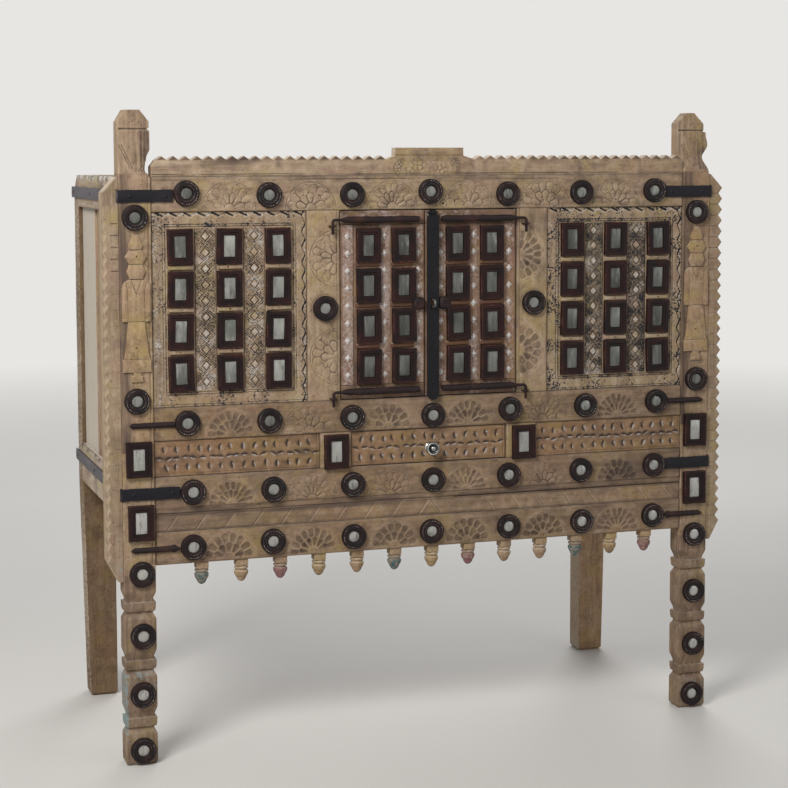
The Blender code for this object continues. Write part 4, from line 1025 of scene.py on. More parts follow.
def panel_relief(side, x0, x1, z0, z1):
    shade = 0.7 if side < 0 else 0.97

    def relief(work):
        top, base = z1 - 0.036, z0 + 0.036
        border = np.minimum(np.minimum(work.x - x0, x1 - work.x), np.minimum(work.z - z0, z1 - work.z))
        frame = border < 0.034
        for number, (first, second) in enumerate(zip(PANEL_COLUMNS, PANEL_COLUMNS[1:])):
            net(work, side * (first + second) / 2, base, top, 0.0225, shade,
                71 + 5 * number + 20 * (side > 0))
        inside = (work.x > x0 + 0.03) & (work.x < x1 - 0.03)
        for level in (top + 0.0035, top + 0.0085, base - 0.0035, base - 0.0085):
            work.cut(np.abs(work.z - level), 0.003, 0.0016, worn=0.6, dirt=0.85, ink=0.5 * shade, only=inside)
        inside = (work.z > base - 0.006) & (work.z < top + 0.006)
        for edge in (x0 + 0.03, x1 - 0.03, x0 + 0.024, x1 - 0.024):
            work.cut(np.abs(work.x - edge), 0.0028, 0.0015, worn=0.55, dirt=0.85, ink=0.4 * shade,
                     only=inside)
        rng = np.random.default_rng(77 + side)
        for number in range(11):
            x = x0 + 0.01 + 0.0315 * number
            dash = work.segment((x, z1 - 0.002), (x + 0.015, z1 - 0.009))
            work.cut(dash, 0.0062, 0.0034, dirt=1.0, ink=1.0, worn=0.9)
            tail = work.segment((x + 0.013, z1 - 0.009), (x + 0.03, z1 - 0.003))
            work.cut(tail, 0.0036, 0.0016, dirt=0.6, worn=0.9)
            work.add(unit(1 - tail / 0.004) * rng.uniform(0.0, 1.0), paint=0.7)
        near = x1 if side < 0 else x1 - 0.001
        turns = 2 * math.pi * work.z / WAVE_RUN
        wave = near - 0.0064 + 0.0032 * np.sin(turns)
        falling = 0.45 + 0.55 * (np.cos(turns) > 0)
        work.cut(np.abs(work.x - wave) / falling, 0.0056, 0.0032, dirt=1.0, ink=0.9, worn=0.5)
        work.add(unit((work.x - wave) / 0.002), paint=0.15)
        work.cut(np.abs(work.z - z0 - 0.005), 0.003, 0.0012, worn=0.4, dirt=0.7, ink=0.4)
        work.add(frame * work.cloud(0.012, 73 + side, 1, 0.5), paint=0.36, pale=0.3)
        work.add(frame * work.cloud(0.01, 75 + side, 1, 0.3), ink=0.3 * (0.5 + shade), soot=0.25)
        rim = unit(1 - np.abs(border - 0.03) / 0.008) + unit(1 - border / 0.006)
        work.add(rim * unit(1.6 * work.cloud(0.017, 76 + side) - 0.2), ink=0.42 * shade)
        specks = work.cloud(0.0027, 174 + side) * (0.5 + work.cloud(0.03, 176 + side))
        work.add(frame * (specks > 0.8), ink=0.7 * shade, dirt=0.25)
        if side < 0:
            stile = unit((x0 + 0.022 - work.x) / 0.006)
            work.add(stile * (0.4 + work.cloud(0.01, 79, 1, 0.4)), paint=0.1, soot=0.45)
        for _ in range(26):
            edge = rng.choice((x0 + 0.014, x1 - 0.014))
            work.hole(edge + rng.normal(0, 0.003), rng.uniform(z0 + 0.02, z1 - 0.02), 0.0014)
        for _ in range(8):
            work.hole(rng.uniform(x0 + 0.02, x1 - 0.02), rng.choice((z0 + 0.018, z1 - 0.02)), 0.0015)
        return work.wear(x0, x1, z0, z1, "Z", seed=78 + side)
    return relief


PANEL_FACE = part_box("zigzag_board")[0].y + 0.001
for label, side in SIDES:
    instead_of(f"mirror_panel_{label}", "carved", PANEL_FACE, panel_relief, side, panel_wood, "pale_wood",
               cell=0.0013)
print("panel face", round(PANEL_FACE, 4))

# %% [markdown]
# ## Door leaves
# The leaves are planks washed with pale pink. White diamonds run down their stiles. The meeting edges lean
# back a little, so that the leaves swing past each other.

# %% Door leaves
DOOR_COLUMNS = (0.0665, 0.1505)
STILES = (0.1085, 0.196, 0.0275)
LEAF_FACE, MEETING_LEAN = FRONT + 0.002, 0.0027


def door_relief(side, x0, x1, z0, z1):
    def relief(work):
        for column in DOOR_COLUMNS:
            for edge in (-1, 1):
                line = np.abs(work.x - side * column - edge * (FRAME_W / 2 + 0.003))
                work.cut(line, 0.0026, 0.0012, worn=0.35, dirt=0.8, only=(work.z > 0.83) & (work.z < 1.195))
        for level in (1.1955, 0.8295):
            work.cut(np.abs(work.z - level), 0.003, 0.0013, worn=0.4, dirt=0.8)
        stile = np.min([np.abs(np.abs(work.x) - place) for place in STILES], axis=0)
        inside = (work.z > 0.83) & (work.z < 1.195)
        band = unit((0.0145 - stile) / 0.003) * inside
        wash = 0.35 + 0.65 * work.cloud(0.016, 81 + side, 1, 0.4)
        work.add(band * wash, paint=0.7 if side < 0 else 0.55)
        ends = unit((work.z - 1.197) / 0.004) + unit((0.828 - work.z) / 0.004)
        work.add(ends * work.cloud(0.008, 82 + side, 0.3, 1), paint=0.6, soot=0.45)
        middle = unit((0.0135 - np.abs(np.abs(work.x) - STILES[0])) / 0.003) * inside
        work.add(middle * work.cloud(0.02, 84) ** 2, pale=0.3)
        work.add((1 - band) * work.cloud(0.02, 83 + side) ** 2, dirt=0.5)
        work.stain(3, 0.03, 85 + side, soot=0.6)
        rng = np.random.default_rng(87 + side)
        for _ in range(16):
            work.hole(side * rng.choice((0.108, 0.188, 0.203, 0.026)), rng.uniform(z0 + 0.03, z1 - 0.03),
                      0.0017)
        return work.wear(x0, x1, z0, z1, "Z", seed=88 + side)
    return relief


for label, side in SIDES:
    instead_of(f"door_leaf_{label}", "washed", LEAF_FACE, door_relief, side, door_wood, "carved_wood",
               body=f"door_{label}", draft=(0.0, MEETING_LEAN) if side < 0 else (MEETING_LEAN, 0.0))
print("leaf face", round(LEAF_FACE, 4))

# %% [markdown]
# ## Diamonds and small bars
# The white diamonds on the doors are little four-sided pyramids, and short bars part the mirrors in each
# column. Both are made once and stamped many times, so each has only a few faces.

# %% Diamonds and bars
def rounded(bm, edges, offset):
    """Round some edges off."""
    bmesh.ops.bevel(bm, geom=list(edges), offset=offset, segments=2, profile=0.5, affect="EDGES",
                    material=-1)


def block(bm, at, wide, deep, tall):
    """Add a squared block round a point, and give its corners."""
    shape = Matrix.Translation(at) @ Matrix.Diagonal((wide, deep, tall, 1.0))
    return bmesh.ops.create_cube(bm, size=1.0, matrix=shape)["verts"]


bm = bmesh.new()
bmesh.ops.create_cone(bm, cap_ends=True, segments=4, radius1=0.0086, radius2=0.0014, depth=0.0042)
stand_up(bm)
bmesh.ops.scale(bm, vec=(0.92, 1.0, 1.04), verts=bm.verts[:])
diamond = pattern("diamond", bm)

bm = bmesh.new()
block(bm, (0, 0, 0), 0.056, 0.006, 0.0092)
rounded(bm, bm.edges[:], 0.0014)
bar = pattern("small_bar", bm)

BAR_Z = [(first + second) / 2 for first, second in zip(MIRROR_ROWS, MIRROR_ROWS[1:])]
rng = np.random.default_rng(94)
for label, side in SIDES:
    spots = [(side * x, LEAF_FACE - 0.0015, 0.8525 + 0.0395 * number) for x in STILES for number in range(9)]
    spots = [spot for spot in spots if side * spot[0] > 0.03 or abs(spot[2] - DOOR_MIDDLE) > 0.02]
    stamped(f"door_diamonds_{label}", spots, diamond, white_dots, "old_paint", f"door_{label}", seed=91,
            sway=0.08)
    spots = [(side * x, LEAF_FACE - 0.0012, z) for x in DOOR_COLUMNS for z in BAR_Z]
    stamped(f"door_bars_{label}", spots, bar, door_bar_x, "carved_wood", f"door_{label}", seed=92)
    spots = [(side * x, PANEL_FACE - 0.0016, z) for x in PANEL_COLUMNS for z in BAR_Z]
    stamped(f"panel_bars_{label}", spots, bar, bar_x, "honey_wood", seed=93)
    bm = bmesh.new()
    for x, y, z in spots:
        at = Matrix.Translation((x + rng.normal(0, 0.003), y - 0.0029, z))
        at = at @ Matrix.Diagonal((1.0, 0.4, 1.0, 1.0))
        bmesh.ops.create_uvsphere(bm, u_segments=8, v_segments=5, radius=rng.uniform(0.0013, 0.0021),
                                  matrix=at)
    piece(f"panel_bar_nails_{label}", bm, brown_iron, "black_iron")
print("diamonds and bars")

# %% [markdown]
# ## Mirror frames
# A small frame is a block whose front is bevelled, inset to a band, stepped down to a second band and sunk to
# its glass. A ring is a turned profile spun round. Each is made once and stamped at every mirror.

# %% Frames and rings
def foremost(bm):
    return min(bm.faces, key=lambda face: face.calc_center_median().y)


def sunk_frame(name, wide, tall, out=0.01):
    bm = bmesh.new()
    block(bm, (0, 0.0005 - out / 2, 0), wide, out + 0.001, tall)
    rounded(bm, foremost(bm).edges, 0.0012)
    bm.normal_update()
    front = max((face for face in bm.faces if face.normal.y < -0.99), key=lambda face: face.calc_area())
    for thickness, depth in ((0.001, 0.0), (0.0066, 0.0), (0.001, -0.0018), (0.0048, 0.0), (0.0008, -0.0042)):
        bmesh.ops.inset_region(bm, faces=[front], thickness=thickness, depth=depth, use_even_offset=True)

    def chips(co):
        rim = min(wide / 2 - abs(co.x), tall / 2 - abs(co.z))
        return 0.9 if rim < 0.0014 and co.y < 0.0009 - out else 0.0
    return pattern(name, bm, chips)


def plate(name, wide, tall, level):
    """A thin mirror with ground edges."""
    bm = bmesh.new()
    block(bm, (0, level + 0.0007, 0), wide, 0.0014, tall)
    rounded(bm, foremost(bm).edges, 0.0008)
    return pattern(name, bm)


def spun(name, profile, steps, axis="Y", beads=None, chips=None):
    """Spin a profile of radius and height about an axis, close it and raise circles of beads."""
    bm = bmesh.new()
    verts = [bm.verts.new((radius, along, 0.0)) for radius, along in profile]
    edges = [bm.edges.new(pair) for pair in zip(verts, verts[1:])]
    bmesh.ops.spin(bm, geom=verts + edges, cent=(0, 0, 0), axis=(0, 1, 0), angle=2 * math.pi, steps=steps,
                   use_merge=True)
    bmesh.ops.remove_doubles(bm, verts=bm.verts[:], dist=1e-6)
    if beads:
        raised = [vert for vert in bm.verts if beads(vert.co)]
        bmesh.ops.translate(bm, verts=raised, vec=(0, -0.0009, 0))
    if axis == "Z":
        stand_up(bm)
    return pattern(name, bm, chips)


RING_R, RING_STEPS, BEAD_R = 0.0285, 56, (0.0244, 0.0176)
ring_profile = [(0.0, 0.001), (RING_R, 0.001), (RING_R, -0.0076), (0.0279, -0.0092), (0.0265, -0.01),
                (0.0254, -0.0098), (BEAD_R[0], -0.0098), (0.0234, -0.0098), (0.0222, -0.0103),
                (0.0196, -0.0103), (0.0186, -0.0098), (BEAD_R[1], -0.0096), (0.0166, -0.0093),
                (0.0146, -0.009), (0.0134, -0.0074), (0.0127, -0.004), (0.0, -0.0036)]


def on_bead(co):
    """True on every other step of the bead circles."""
    step = round(math.atan2(co.z, co.x) / (2 * math.pi / RING_STEPS))
    return min(abs(math.hypot(co.x, co.z) - radius) for radius in BEAD_R) < 1e-4 and step % 2 == 0


def ring_chips(co):
    if on_bead(co):
        return 2.0 if math.hypot(co.x, co.z) > 0.02 else 0.6
    return 0.0


ring = spun("mirror_ring", ring_profile, RING_STEPS, beads=on_bead, chips=ring_chips)
disc = spun("round_mirror", [(0.0, -0.0062), (0.007, -0.006), (0.0112, -0.0054), (0.0126, -0.0047),
                             (0.0126, -0.0036), (0.0, -0.0036)], 28)
tall_frame = sunk_frame("upright_frame", FRAME_W, FRAME_H)
tall_glass = plate("upright_mirror", FRAME_W - 0.0312, FRAME_H - 0.0312, -0.0055)
print("ring faces", len(ring.polygons), "frame faces", len(tall_frame.polygons))

# %% Set the mirrors
POST_X = 0.679
RING_ROWS = {
    "top_rail": ((1, 2), (-1, -3), (3, -4), (1, 2), (2, -5), (-1, -3), (-1, 0)),
    "middle_rail": ((-2, 1), (-4, -2), (1, -3), (7, -7), (9, -1), (12, -1), (8, 1)),
    "lower_rail": ((9, 5), (4, 1), (2, 1), (7, 1), (6, 2), (1, 3), (3, 5)),
    "bottom_rail": ((8, 0), (2, 1), (3, -1), (3, -1), (6, -2), (4, -2), (1, 1)),
}
POST_RINGS = {0.034: ((2, -1), (-1, 1)), 0.161: ((3, -2), (1, -1)), 0.291: ((5, 0), (1, 0)),
              0.421: ((5, 9), (1, 10)), 0.811: ((-1, 4), (2, 0)), 1.214: ((-1, 3), (0, 0))}
POST_FRAMES = {0.5405: ((4, 4), (0, 6)), 0.6835: ((1, 2), (0, 4))}
DOOR_SHIFT = {-1: ((4, 4, 3, 3), (-1, -2, -3, -5)), 1: ((3, 3, 1, 1), (0, 0, -1, -3))}


def nudged(x, y, z, shift):
    """A place moved along the front by a hand's error, given in millimetres."""
    return x + shift[0] / 1000, y, z + shift[1] / 1000


def on_posts(rows):
    """Places on both posts, from a table of heights with a shift for each post."""
    return [nudged(side * POST_X, FRONT, z, shift) for z, pair in rows.items()
            for side, shift in zip((-1, 1), pair)]


rail_rings = {name: [nudged(x, FRONT, RAIL_RING_Z[name], shift) for x, shift in zip(ROUNDEL_X, row)]
              for name, row in RING_ROWS.items()}
ring_spots = [spot for row in rail_rings.values() for spot in row]
ring_spots += on_posts(POST_RINGS)
ring_spots += [nudged(side * MUNTIN_X, FRONT, DOOR_MIDDLE, (3, -5)) for side in (-1, 1)]
stamped("case_rings", ring_spots, ring, ring_lacquer, "mirror_frame", seed=101, sway=0.6)
stamped("case_round_mirrors", ring_spots, disc, mirror_glass, "mirror_glass", seed=101, sway=0.6)

panel_frames = {side: [nudged(side * x, PANEL_FACE, z, shift) for x in PANEL_COLUMNS for z in MIRROR_ROWS]
                for side, shift in ((-1, (-2, -1)), (1, (-1, 1)))}
case_frames = panel_frames[-1] + on_posts(POST_FRAMES)
case_frames += [nudged(side * DIVIDER_X, FRONT, 0.6835, shift)
                for side, shift in ((-1, (1, -3)), (1, (5, -3)))]
for name, spots, glass in (("case", case_frames, brighter_reflection_glass), ("right_panel", panel_frames[1], darker_reflection_glass)):
    stamped(f"{name}_frames", spots, tall_frame, frame_lacquer, "mirror_frame", seed=102)
    stamped(f"{name}_mirrors", spots, tall_glass, glass, "mirror_glass", seed=102)
for label, side in SIDES:
    spots = [nudged(side * x, LEAF_FACE, z, shift) for x in DOOR_COLUMNS
             for z, shift in zip(MIRROR_ROWS, zip(*DOOR_SHIFT[side]))]
    stamped(f"door_frames_{label}", spots, tall_frame, frame_lacquer, "mirror_frame", f"door_{label}",
            seed=103)
    stamped(f"door_mirrors_{label}", spots, tall_glass, darker_reflection_glass, "mirror_glass", f"door_{label}", seed=103)
print("rings", len(ring_spots), "frames on the case", len(case_frames) + len(panel_frames[1]))

# %% [markdown]
# ## Posts, legs and finials
# A front post is one timber: a leg cut into blocks and beads, a plain shaft and a finial like a hooded head.
# We wrap a grid round a rounded square and let the cut at each height pull its faces in.

# %% Posts
def post(name, middle, size, top, cell, pull, relief, finish, slot, stands_for, corner=0.0035, fine=34):
    """A squared timber from the floor to a height, worn round at its corners."""
    edges = []
    for fx0, fy0, fx1, fy1, ox, oy, count in ((-1, -1, 1, -1, 0, -1, fine), (1, -1, 1, 1, 1, 0, 14),
                                              (1, 1, -1, 1, 0, 1, 12), (-1, 1, -1, -1, -1, 0, 14)):
        for step in range(count):
            share = step / count
            edges.append((fx0 + (fx1 - fx0) * share, fy0 + (fy1 - fy0) * share, ox, oy))
        start = math.atan2(oy, ox)
        for step in range(4):
            angle = start + math.pi / 2 * step / 4
            edges.append((fx1, fy1, math.cos(angle), math.sin(angle)))
    table = np.array(edges)
    rows = round(top / cell)
    bm = bmesh.new()
    bmesh.ops.create_grid(bm, x_segments=len(table), y_segments=rows, size=0.5)
    flat = np.array([vert.co for vert in bm.verts])
    ring_at = np.round((flat[:, 0] + 0.5) * len(table)).astype(int) % len(table)
    z = (flat[:, 1] + 0.5) * top
    fx, fy, ox, oy = table[ring_at].T
    cut_left, cut_right, cut_front, cut_back = pull(z, fy)
    low_x = middle[0] - size[0] / 2 + cut_left + corner
    high_x = middle[0] + size[0] / 2 - cut_right - corner
    x = low_x + (high_x - low_x) * (fx + 1) / 2 + ox * corner
    y = middle[1] + fy * (size[1] / 2 - corner) + oy * corner
    y = y + cut_front * (1 - fy) / 2 - cut_back * (1 + fy) / 2
    work = relief(Carving(x, z), x - middle[0], ox, oy)
    wave = 0.0007 * mottle(x * 4 + y * 3, z * 0.2, 0.012, 5)
    y = y + np.where(oy < -0.99, work.depth + wave, 0.0) - np.where(oy > 0.99, wave, 0.0)
    x = x - ox * np.where(np.abs(oy) < 0.7, wave, 0.0)
    for vert, *place in zip(bm.verts, x, y, z):
        vert.co = place
    layers = {key: bm.verts.layers.float.new(key) for key in work.marks}
    for key, layer in layers.items():
        for vert, value in zip(bm.verts, work.marks[key]):
            vert[layer] = value
    bmesh.ops.remove_doubles(bm, verts=bm.verts[:], dist=1e-6)
    bmesh.ops.holes_fill(bm, edges=[edge for edge in bm.edges if edge.is_boundary], sides=0)
    return piece(name, bm, finish, slot, stands_for=stands_for)


def eased(z, pairs):
    """Follow heights and values with soft turns between them."""
    heights, values = zip(*pairs)
    at = np.clip(np.searchsorted(heights, z) - 1, 0, len(heights) - 2)
    heights, values = np.array(heights), np.array(values)
    share = unit((z - heights[at]) / (heights[at + 1] - heights[at]))
    share = share * share * (3 - 2 * share)
    return values[at] + (values[at + 1] - values[at]) * share


BEADS, CROWN_TOP = (0.096, 0.226, 0.356), 1.45
HEADS = {
    "left": dict(left=[(0.0, 0.0), (1.5, 0.0)], front=[(0.0, 0.0), (1.5, 0.0)],
                 crown=((0.016, 0.026), (0.02, 0.025)),
                 right=[(0.0, 0.0), (1.301, 0.0), (1.307, 0.0035), (1.321, 0.015), (1.346, 0.0085),
                        (1.366, 0.001), (1.404, 0.001), (1.4085, 0.0065), (1.412, 0.0022), (1.45, 0.0022)]),
    "right": dict(left=[(0.0, 0.0), (1.31, 0.0), (1.348, -0.008), (1.5, -0.0085)],
                  front=[(0.0, 0.0), (1.308, 0.0), (1.352, 0.017), (1.5, 0.017)],
                  crown=((0.023, 0.025), (0.025, 0.026)),
                  right=[(0.0, 0.0), (1.302, 0.0), (1.309, 0.003), (1.3435, 0.0135), (1.374, -0.0015),
                         (1.398, 0.003), (1.4045, 0.0035), (1.406, 0.0115), (1.41, 0.0095), (1.45, 0.0095)]),
}


def front_pull(label):
    """How far the front post is cut in at each height: foot, three beads, then the head's neck and crown."""
    leg = [(0.0, 0.004), (0.006, 0.0)]
    for middle in BEADS:
        leg += [(middle - 0.03, 0.0), (middle - 0.0125, 0.0066), (middle - 0.01, 0.002),
                (middle - 0.002, 0.0008), (middle + 0.0095, 0.0004), (middle + 0.0115, 0.0064),
                (middle + 0.036, 0.0)]
    leg += [(1.5, 0.0)]
    head = HEADS[label]

    def pull(z, fy):
        cut = eased(z, leg)
        crown = [wide * unit((z - CROWN_TOP + tall) / tall) for wide, tall in head["crown"]]
        deep = 0.35 + 0.65 * unit((0.6 - fy) / 1.2)
        return (cut + crown[0] + eased(z, head["left"]), cut + crown[1] + eased(z, head["right"]) * deep,
                cut + eased(z, head["front"]), cut)
    return pull


def front_post_relief(side):
    middle = side * POST_X

    def relief(work, across, ox, oy):
        z = work.z
        front = oy < -0.99
        for height, wide, deep, grime_and_shade in ((1.4085, 0.005, 0.003, 1.0), (1.3105, 0.003, 0.0008, 0.4)):
            work.cut(np.abs(z - height), wide, deep, worn=0.5, dirt=grime_and_shade, only=front)
        for x, height in ((-0.009, 1.4225), (-0.002, 1.4245), (0.012, 1.4225)):
            work.hole(middle + x, height, 0.0019)
        for start, end in (((-0.033, 1.374), (-0.008, 1.323)), ((-0.027, 1.374), (-0.003, 1.323)),
                           ((0.033, 1.35), (0.01, 1.316)), ((0.028, 1.34), (0.016, 1.316))):
            start, end = (middle + start[0], start[1]), (middle + end[0], end[1])
            work.cut(work.segment(start, end), 0.004, 0.0018, worn=0.8, dirt=0.5, only=front)
        shaft = (z > 0.45) & (z < 1.31) & front
        work.cut(np.abs(work.x - side * 0.65), 0.003, 0.0012, dirt=0.6, only=shaft)
        near = front & (np.abs(work.x) < 0.652)
        for height in (0.447, 0.561, 0.643, 0.724, 0.797, 1.228, 1.305):
            work.cut(np.abs(z - height), 0.002, 0.0006, dirt=0.4, only=near)
        rng = np.random.default_rng(111 + side)
        for _ in range(14):
            work.hole(middle + rng.uniform(-0.03, 0.03), rng.uniform(0.44, 1.3), 0.0014)
        streak = work.cloud(0.016, 113 + side, 2.2, 0.12)
        dusk = unit((-across - 0.004) / 0.014) * (0.55 + 0.75 * streak)
        work.add(dusk * ((z > 0.7) & (z < 1.31)) * (front | (np.abs(oy) > 0.3)), soot=1.0,
                 dirt=0.25 * (side > 0))
        work.add(streak ** 3 * (z > 0.4), soot=0.35)
        # The right post's shaft is darker: painted shade where the light falls off to the right.
        work.add((side > 0) * ((z > 0.44) & (z < 1.31)) * (0.3 + 0.7 * streak), soot=0.25)
        head = (z > 1.315) & (z < 1.404) & front
        lines = work.cloud(0.011, 114, 3.0, 0.22) ** 2 * (0.5 + work.cloud(0.006, 119))
        work.add(head * lines * np.clip(0.45 + across / 0.025, 0.1, 1), soot=1.0, dirt=0.7)
        work.add((z > 1.3) * work.cloud(0.012, 120 + side) ** 2, pale=0.35)
        work.add((z > 1.308) * (0.2 + 0.8 * work.cloud(0.016, 130 + side)), soot=0.45)
        # Pale edges on the head's sides: painted highlights.
        work.add((z > 1.312) * unit((np.abs(across) - 0.0275) / 0.004), pale=0.6)
        # Darker below the case: soot and painted shade low down.
        work.add((z < 0.43) * (0.55 + 0.45 * work.cloud(0.03, 129 + side)), soot=0.75)
        work.add((z < 0.44) * work.cloud(0.02, 115) ** 3, dirt=0.4)
        # Darker in the creases beside each bead: painted shade.
        pinch = np.min([np.abs(np.abs(z - height) - 0.012) for height in BEADS], axis=0)
        work.add(unit(1 - pinch / 0.003), soot=0.25)
        bead = np.min([np.abs(z - height) for height in BEADS], axis=0)
        work.add(unit(1 - bead / 0.008) * work.cloud(0.008, 118) * (z > 0.3), paint=0.35)
        if side < 0:
            low_side = (z < 0.205) & ((ox < -0.5) | (across < -0.029))
            work.add(low_side * unit(2 * mottle(z, z * 0, 0.05, 116) - 0.2), paint=0.66)
            work.add((np.abs(z - 0.19) < 0.022) * work.cloud(0.012, 123), paint=0.45)
        work.add((z < 0.075) * work.cloud(0.02, 117), paint=0.34)
        return work
    return relief


def rear_pull(side):
    """The rear post leans in on its outside below the case, and its foot and top corner are cut off."""
    def pull(z, fy):
        foot = 0.005 * unit(1 - z / 0.006)
        lean = REAR_LEAN * unit(1 - z / CASE_LOW)
        top = 0.044 * unit((z - 1.268) / 0.037)
        return foot + (lean if side < 0 else 0.0), foot + (lean if side > 0 else 0.0), foot, foot + top
    return pull


def rear_relief(side):
    def relief(work, across, ox, oy):
        # Pale on the outer faces and on the right post's left face: painted light on the faces that look
        # sideways.
        work.add((ox * side > 0.7) * (0.55 + 0.45 * mottle(work.z, work.z * 0, 0.09, 125)), paint=0.6)
        work.add((ox < -0.7) * (side > 0) * (0.6 + 0.4 * mottle(work.z, work.z * 0, 0.07, 128)), paint=0.9)
        work.stain(2, 0.03, 126, 2, 0.3, soot=0.4)
        return work
    return relief


REAR_LEAN, CASE_LOW = 0.012, 0.548
POST_W, POST_D = 0.072, 0.052
for label, side, rear_wood in (("left", -1, rear_shaded_z), ("right", 1, rear_lit_z)):
    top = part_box(f"front_post_{label}")[1].z
    post(f"front_post_{label}_turned", (side * POST_X, FRONT + POST_D / 2), (POST_W, POST_D), top, 0.0021,
         front_pull(label), front_post_relief(side), honey_z, "honey_wood", (f"front_post_{label}",))
    low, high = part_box(f"rear_post_{label}")
    post(f"rear_post_{label}_worn", ((low.x + high.x) / 2, (low.y + high.y) / 2),
         (high.x - low.x, high.y - low.y), high.z, 0.006, rear_pull(side), rear_relief(side), rear_wood,
         "pale_wood", (f"rear_post_{label}",), fine=14)
print("posts")

# %% [markdown]
# ## The figures on the posts
# A flat standing figure is set on each post: hat, head, collar, coat, skirt, hem and feet. Each is a small
# board cut to an outline, and narrow gaps between boards make the lines of the sleeves and the neck.

# %% Post figures
def slab(bm, outline, y0, y1, round_off=0.0009):
    """A little board cut to an outline, with its front edges rounded."""
    face = bm.faces.new([bm.verts.new((x, y1, z)) for x, z in outline])
    grown = bmesh.ops.extrude_face_region(bm, geom=[face])["geom"]
    front = next(item for item in grown if isinstance(item, bmesh.types.BMFace))
    bmesh.ops.translate(bm, verts=list(front.verts), vec=(0, y0 - y1, 0))
    rounded(bm, front.edges, round_off)


def mirrored(right_side):
    """A symmetrical outline from its right half, listed from the bottom up."""
    return right_side + [(-x, z) for x, z in reversed(right_side)]


FIGURE = {
    "hat": mirrored([(0.0125, 1.1475), (0.016, 1.156), (0.0065, 1.1785)]),
    "head": mirrored([(0.0145, 1.116), (0.0245, 1.1305), (0.015, 1.1455)]),
    "collar": mirrored([(0.0135, 1.0835), (0.021, 1.099), (0.015, 1.1145)]),
    "neck": [(0.0, 1.051), (0.0108, 1.081), (-0.0108, 1.081)],
    "coat": [(0.0183, 0.9905), (0.0183, 1.056), (0.0225, 1.079), (0.0118, 1.0818), (0.0, 1.0485),
             (-0.0118, 1.0818), (-0.0225, 1.079), (-0.0183, 1.056), (-0.0183, 0.9905)],
    "sleeve_left": [(-0.0188, 0.9985), (-0.0188, 1.056), (-0.023, 1.0785), (-0.0285, 1.073), (-0.0312, 1.064),
                    (-0.0312, 0.9985)],
    "sleeve_right": [(0.0312, 0.9985), (0.0312, 1.064), (0.0285, 1.073), (0.023, 1.0785), (0.0188, 1.056),
                     (0.0188, 0.9985)],
    "cuff_left": [(-0.019, 0.99), (-0.019, 0.998), (-0.031, 0.998), (-0.0307, 0.99)],
    "cuff_right": [(0.0307, 0.99), (0.031, 0.998), (0.019, 0.998), (0.019, 0.99)],
    "skirt": mirrored([(0.029, 0.9076), (0.0262, 0.92), (0.0185, 0.9893)]),
    "hem": mirrored([(0.0312, 0.879), (0.0312, 0.9066)]),
    "feet": mirrored([(0.013, 0.8575), (0.013, 0.8705), (0.0085, 0.8715), (0.0085, 0.878)]),
}
figure_wood = wood("figure_wood", (0.318, 0.226, 0.142), "Z", dust=0.45)
for label, side in SIDES:
    bm = bmesh.new()
    for outline in FIGURE.values():
        slab(bm, [(side * POST_X + x, z) for x, z in outline], FRONT - 0.0042, FRONT + 0.002)
    piece(f"figure_{label}", bm, figure_wood, "honey_wood")
    bm = bmesh.new()
    for x, z in ((0.001, 1.133), (-0.001, 0.933)):
        bmesh.ops.create_uvsphere(bm, u_segments=10, v_segments=6, radius=0.0018,
                                  matrix=Matrix.Translation((side * POST_X + x, FRONT - 0.0043, z)))
    piece(f"figure_nails_{label}", bm, brown_iron, "black_iron")
print("figure boards", len(FIGURE))

# %% [markdown]
# ## Edge strips
# A toothed board stands along the outside of each front post, with a plain backing board behind it. The
# notches are cut into the outer front corner, so the grid's front is drawn out to the teeth and its back to a
# straight edge. The inner edge gets a notch where each iron strap passes. The teeth at the right are cut
# deeper.

# %% Edge strips
STRIP_IN, STRIP_OUT = (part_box("edge_strip_right")[corner].x for corner in (0, 1))
STRIP_TIP, STRIP_TIP_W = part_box("edge_strip_right")[0].z, 0.01
STRIP_HIGH, STRIP_TOP, STRIP_END = 1.3045, 1.271, 0.46
TOOTH_CUT, STRIP_T = {-1: 0.0068, 1: 0.0096}, 0.02
STRAP_Z = {"upper": (1.25, 1.277), "lower": (0.595, 0.622)}
STRIP_TEETH = round((STRIP_TOP - STRIP_END) / 0.026)
STRIP_RUN = (STRIP_TOP - STRIP_END) / STRIP_TEETH


def strip_edges(z, behind, side):
    """Inner and outer edge of a strip at each height, in front and behind."""
    phase = (STRIP_TOP - z) / STRIP_RUN
    tooth = 1 - np.abs(phase - np.floor(phase) - 0.5) * 2
    fresh_cut = np.clip((1.222 - z) / 0.03, 0.25, 1.0) if side < 0 else 1.0
    outer = STRIP_OUT - np.where(behind, 0.0, TOOTH_CUT[side] * fresh_cut) * tooth
    slope = (STRIP_OUT - STRIP_IN - 0.002) * (z - STRIP_TOP) / (1.305 - STRIP_TOP)
    outer = np.where(z > STRIP_TOP, STRIP_OUT - slope, outer)
    fall = unit((STRIP_END - z) / (STRIP_END - STRIP_TIP))
    outer = np.where(z < STRIP_END, STRIP_OUT + (STRIP_IN + STRIP_TIP_W - STRIP_OUT) * fall, outer)
    inner = np.full_like(z, STRIP_IN)
    for low, high in STRAP_Z.values():
        inner = np.where((z > low - 0.001) & (z < high + 0.001), STRIP_IN + 0.0046, inner)
    return inner, outer


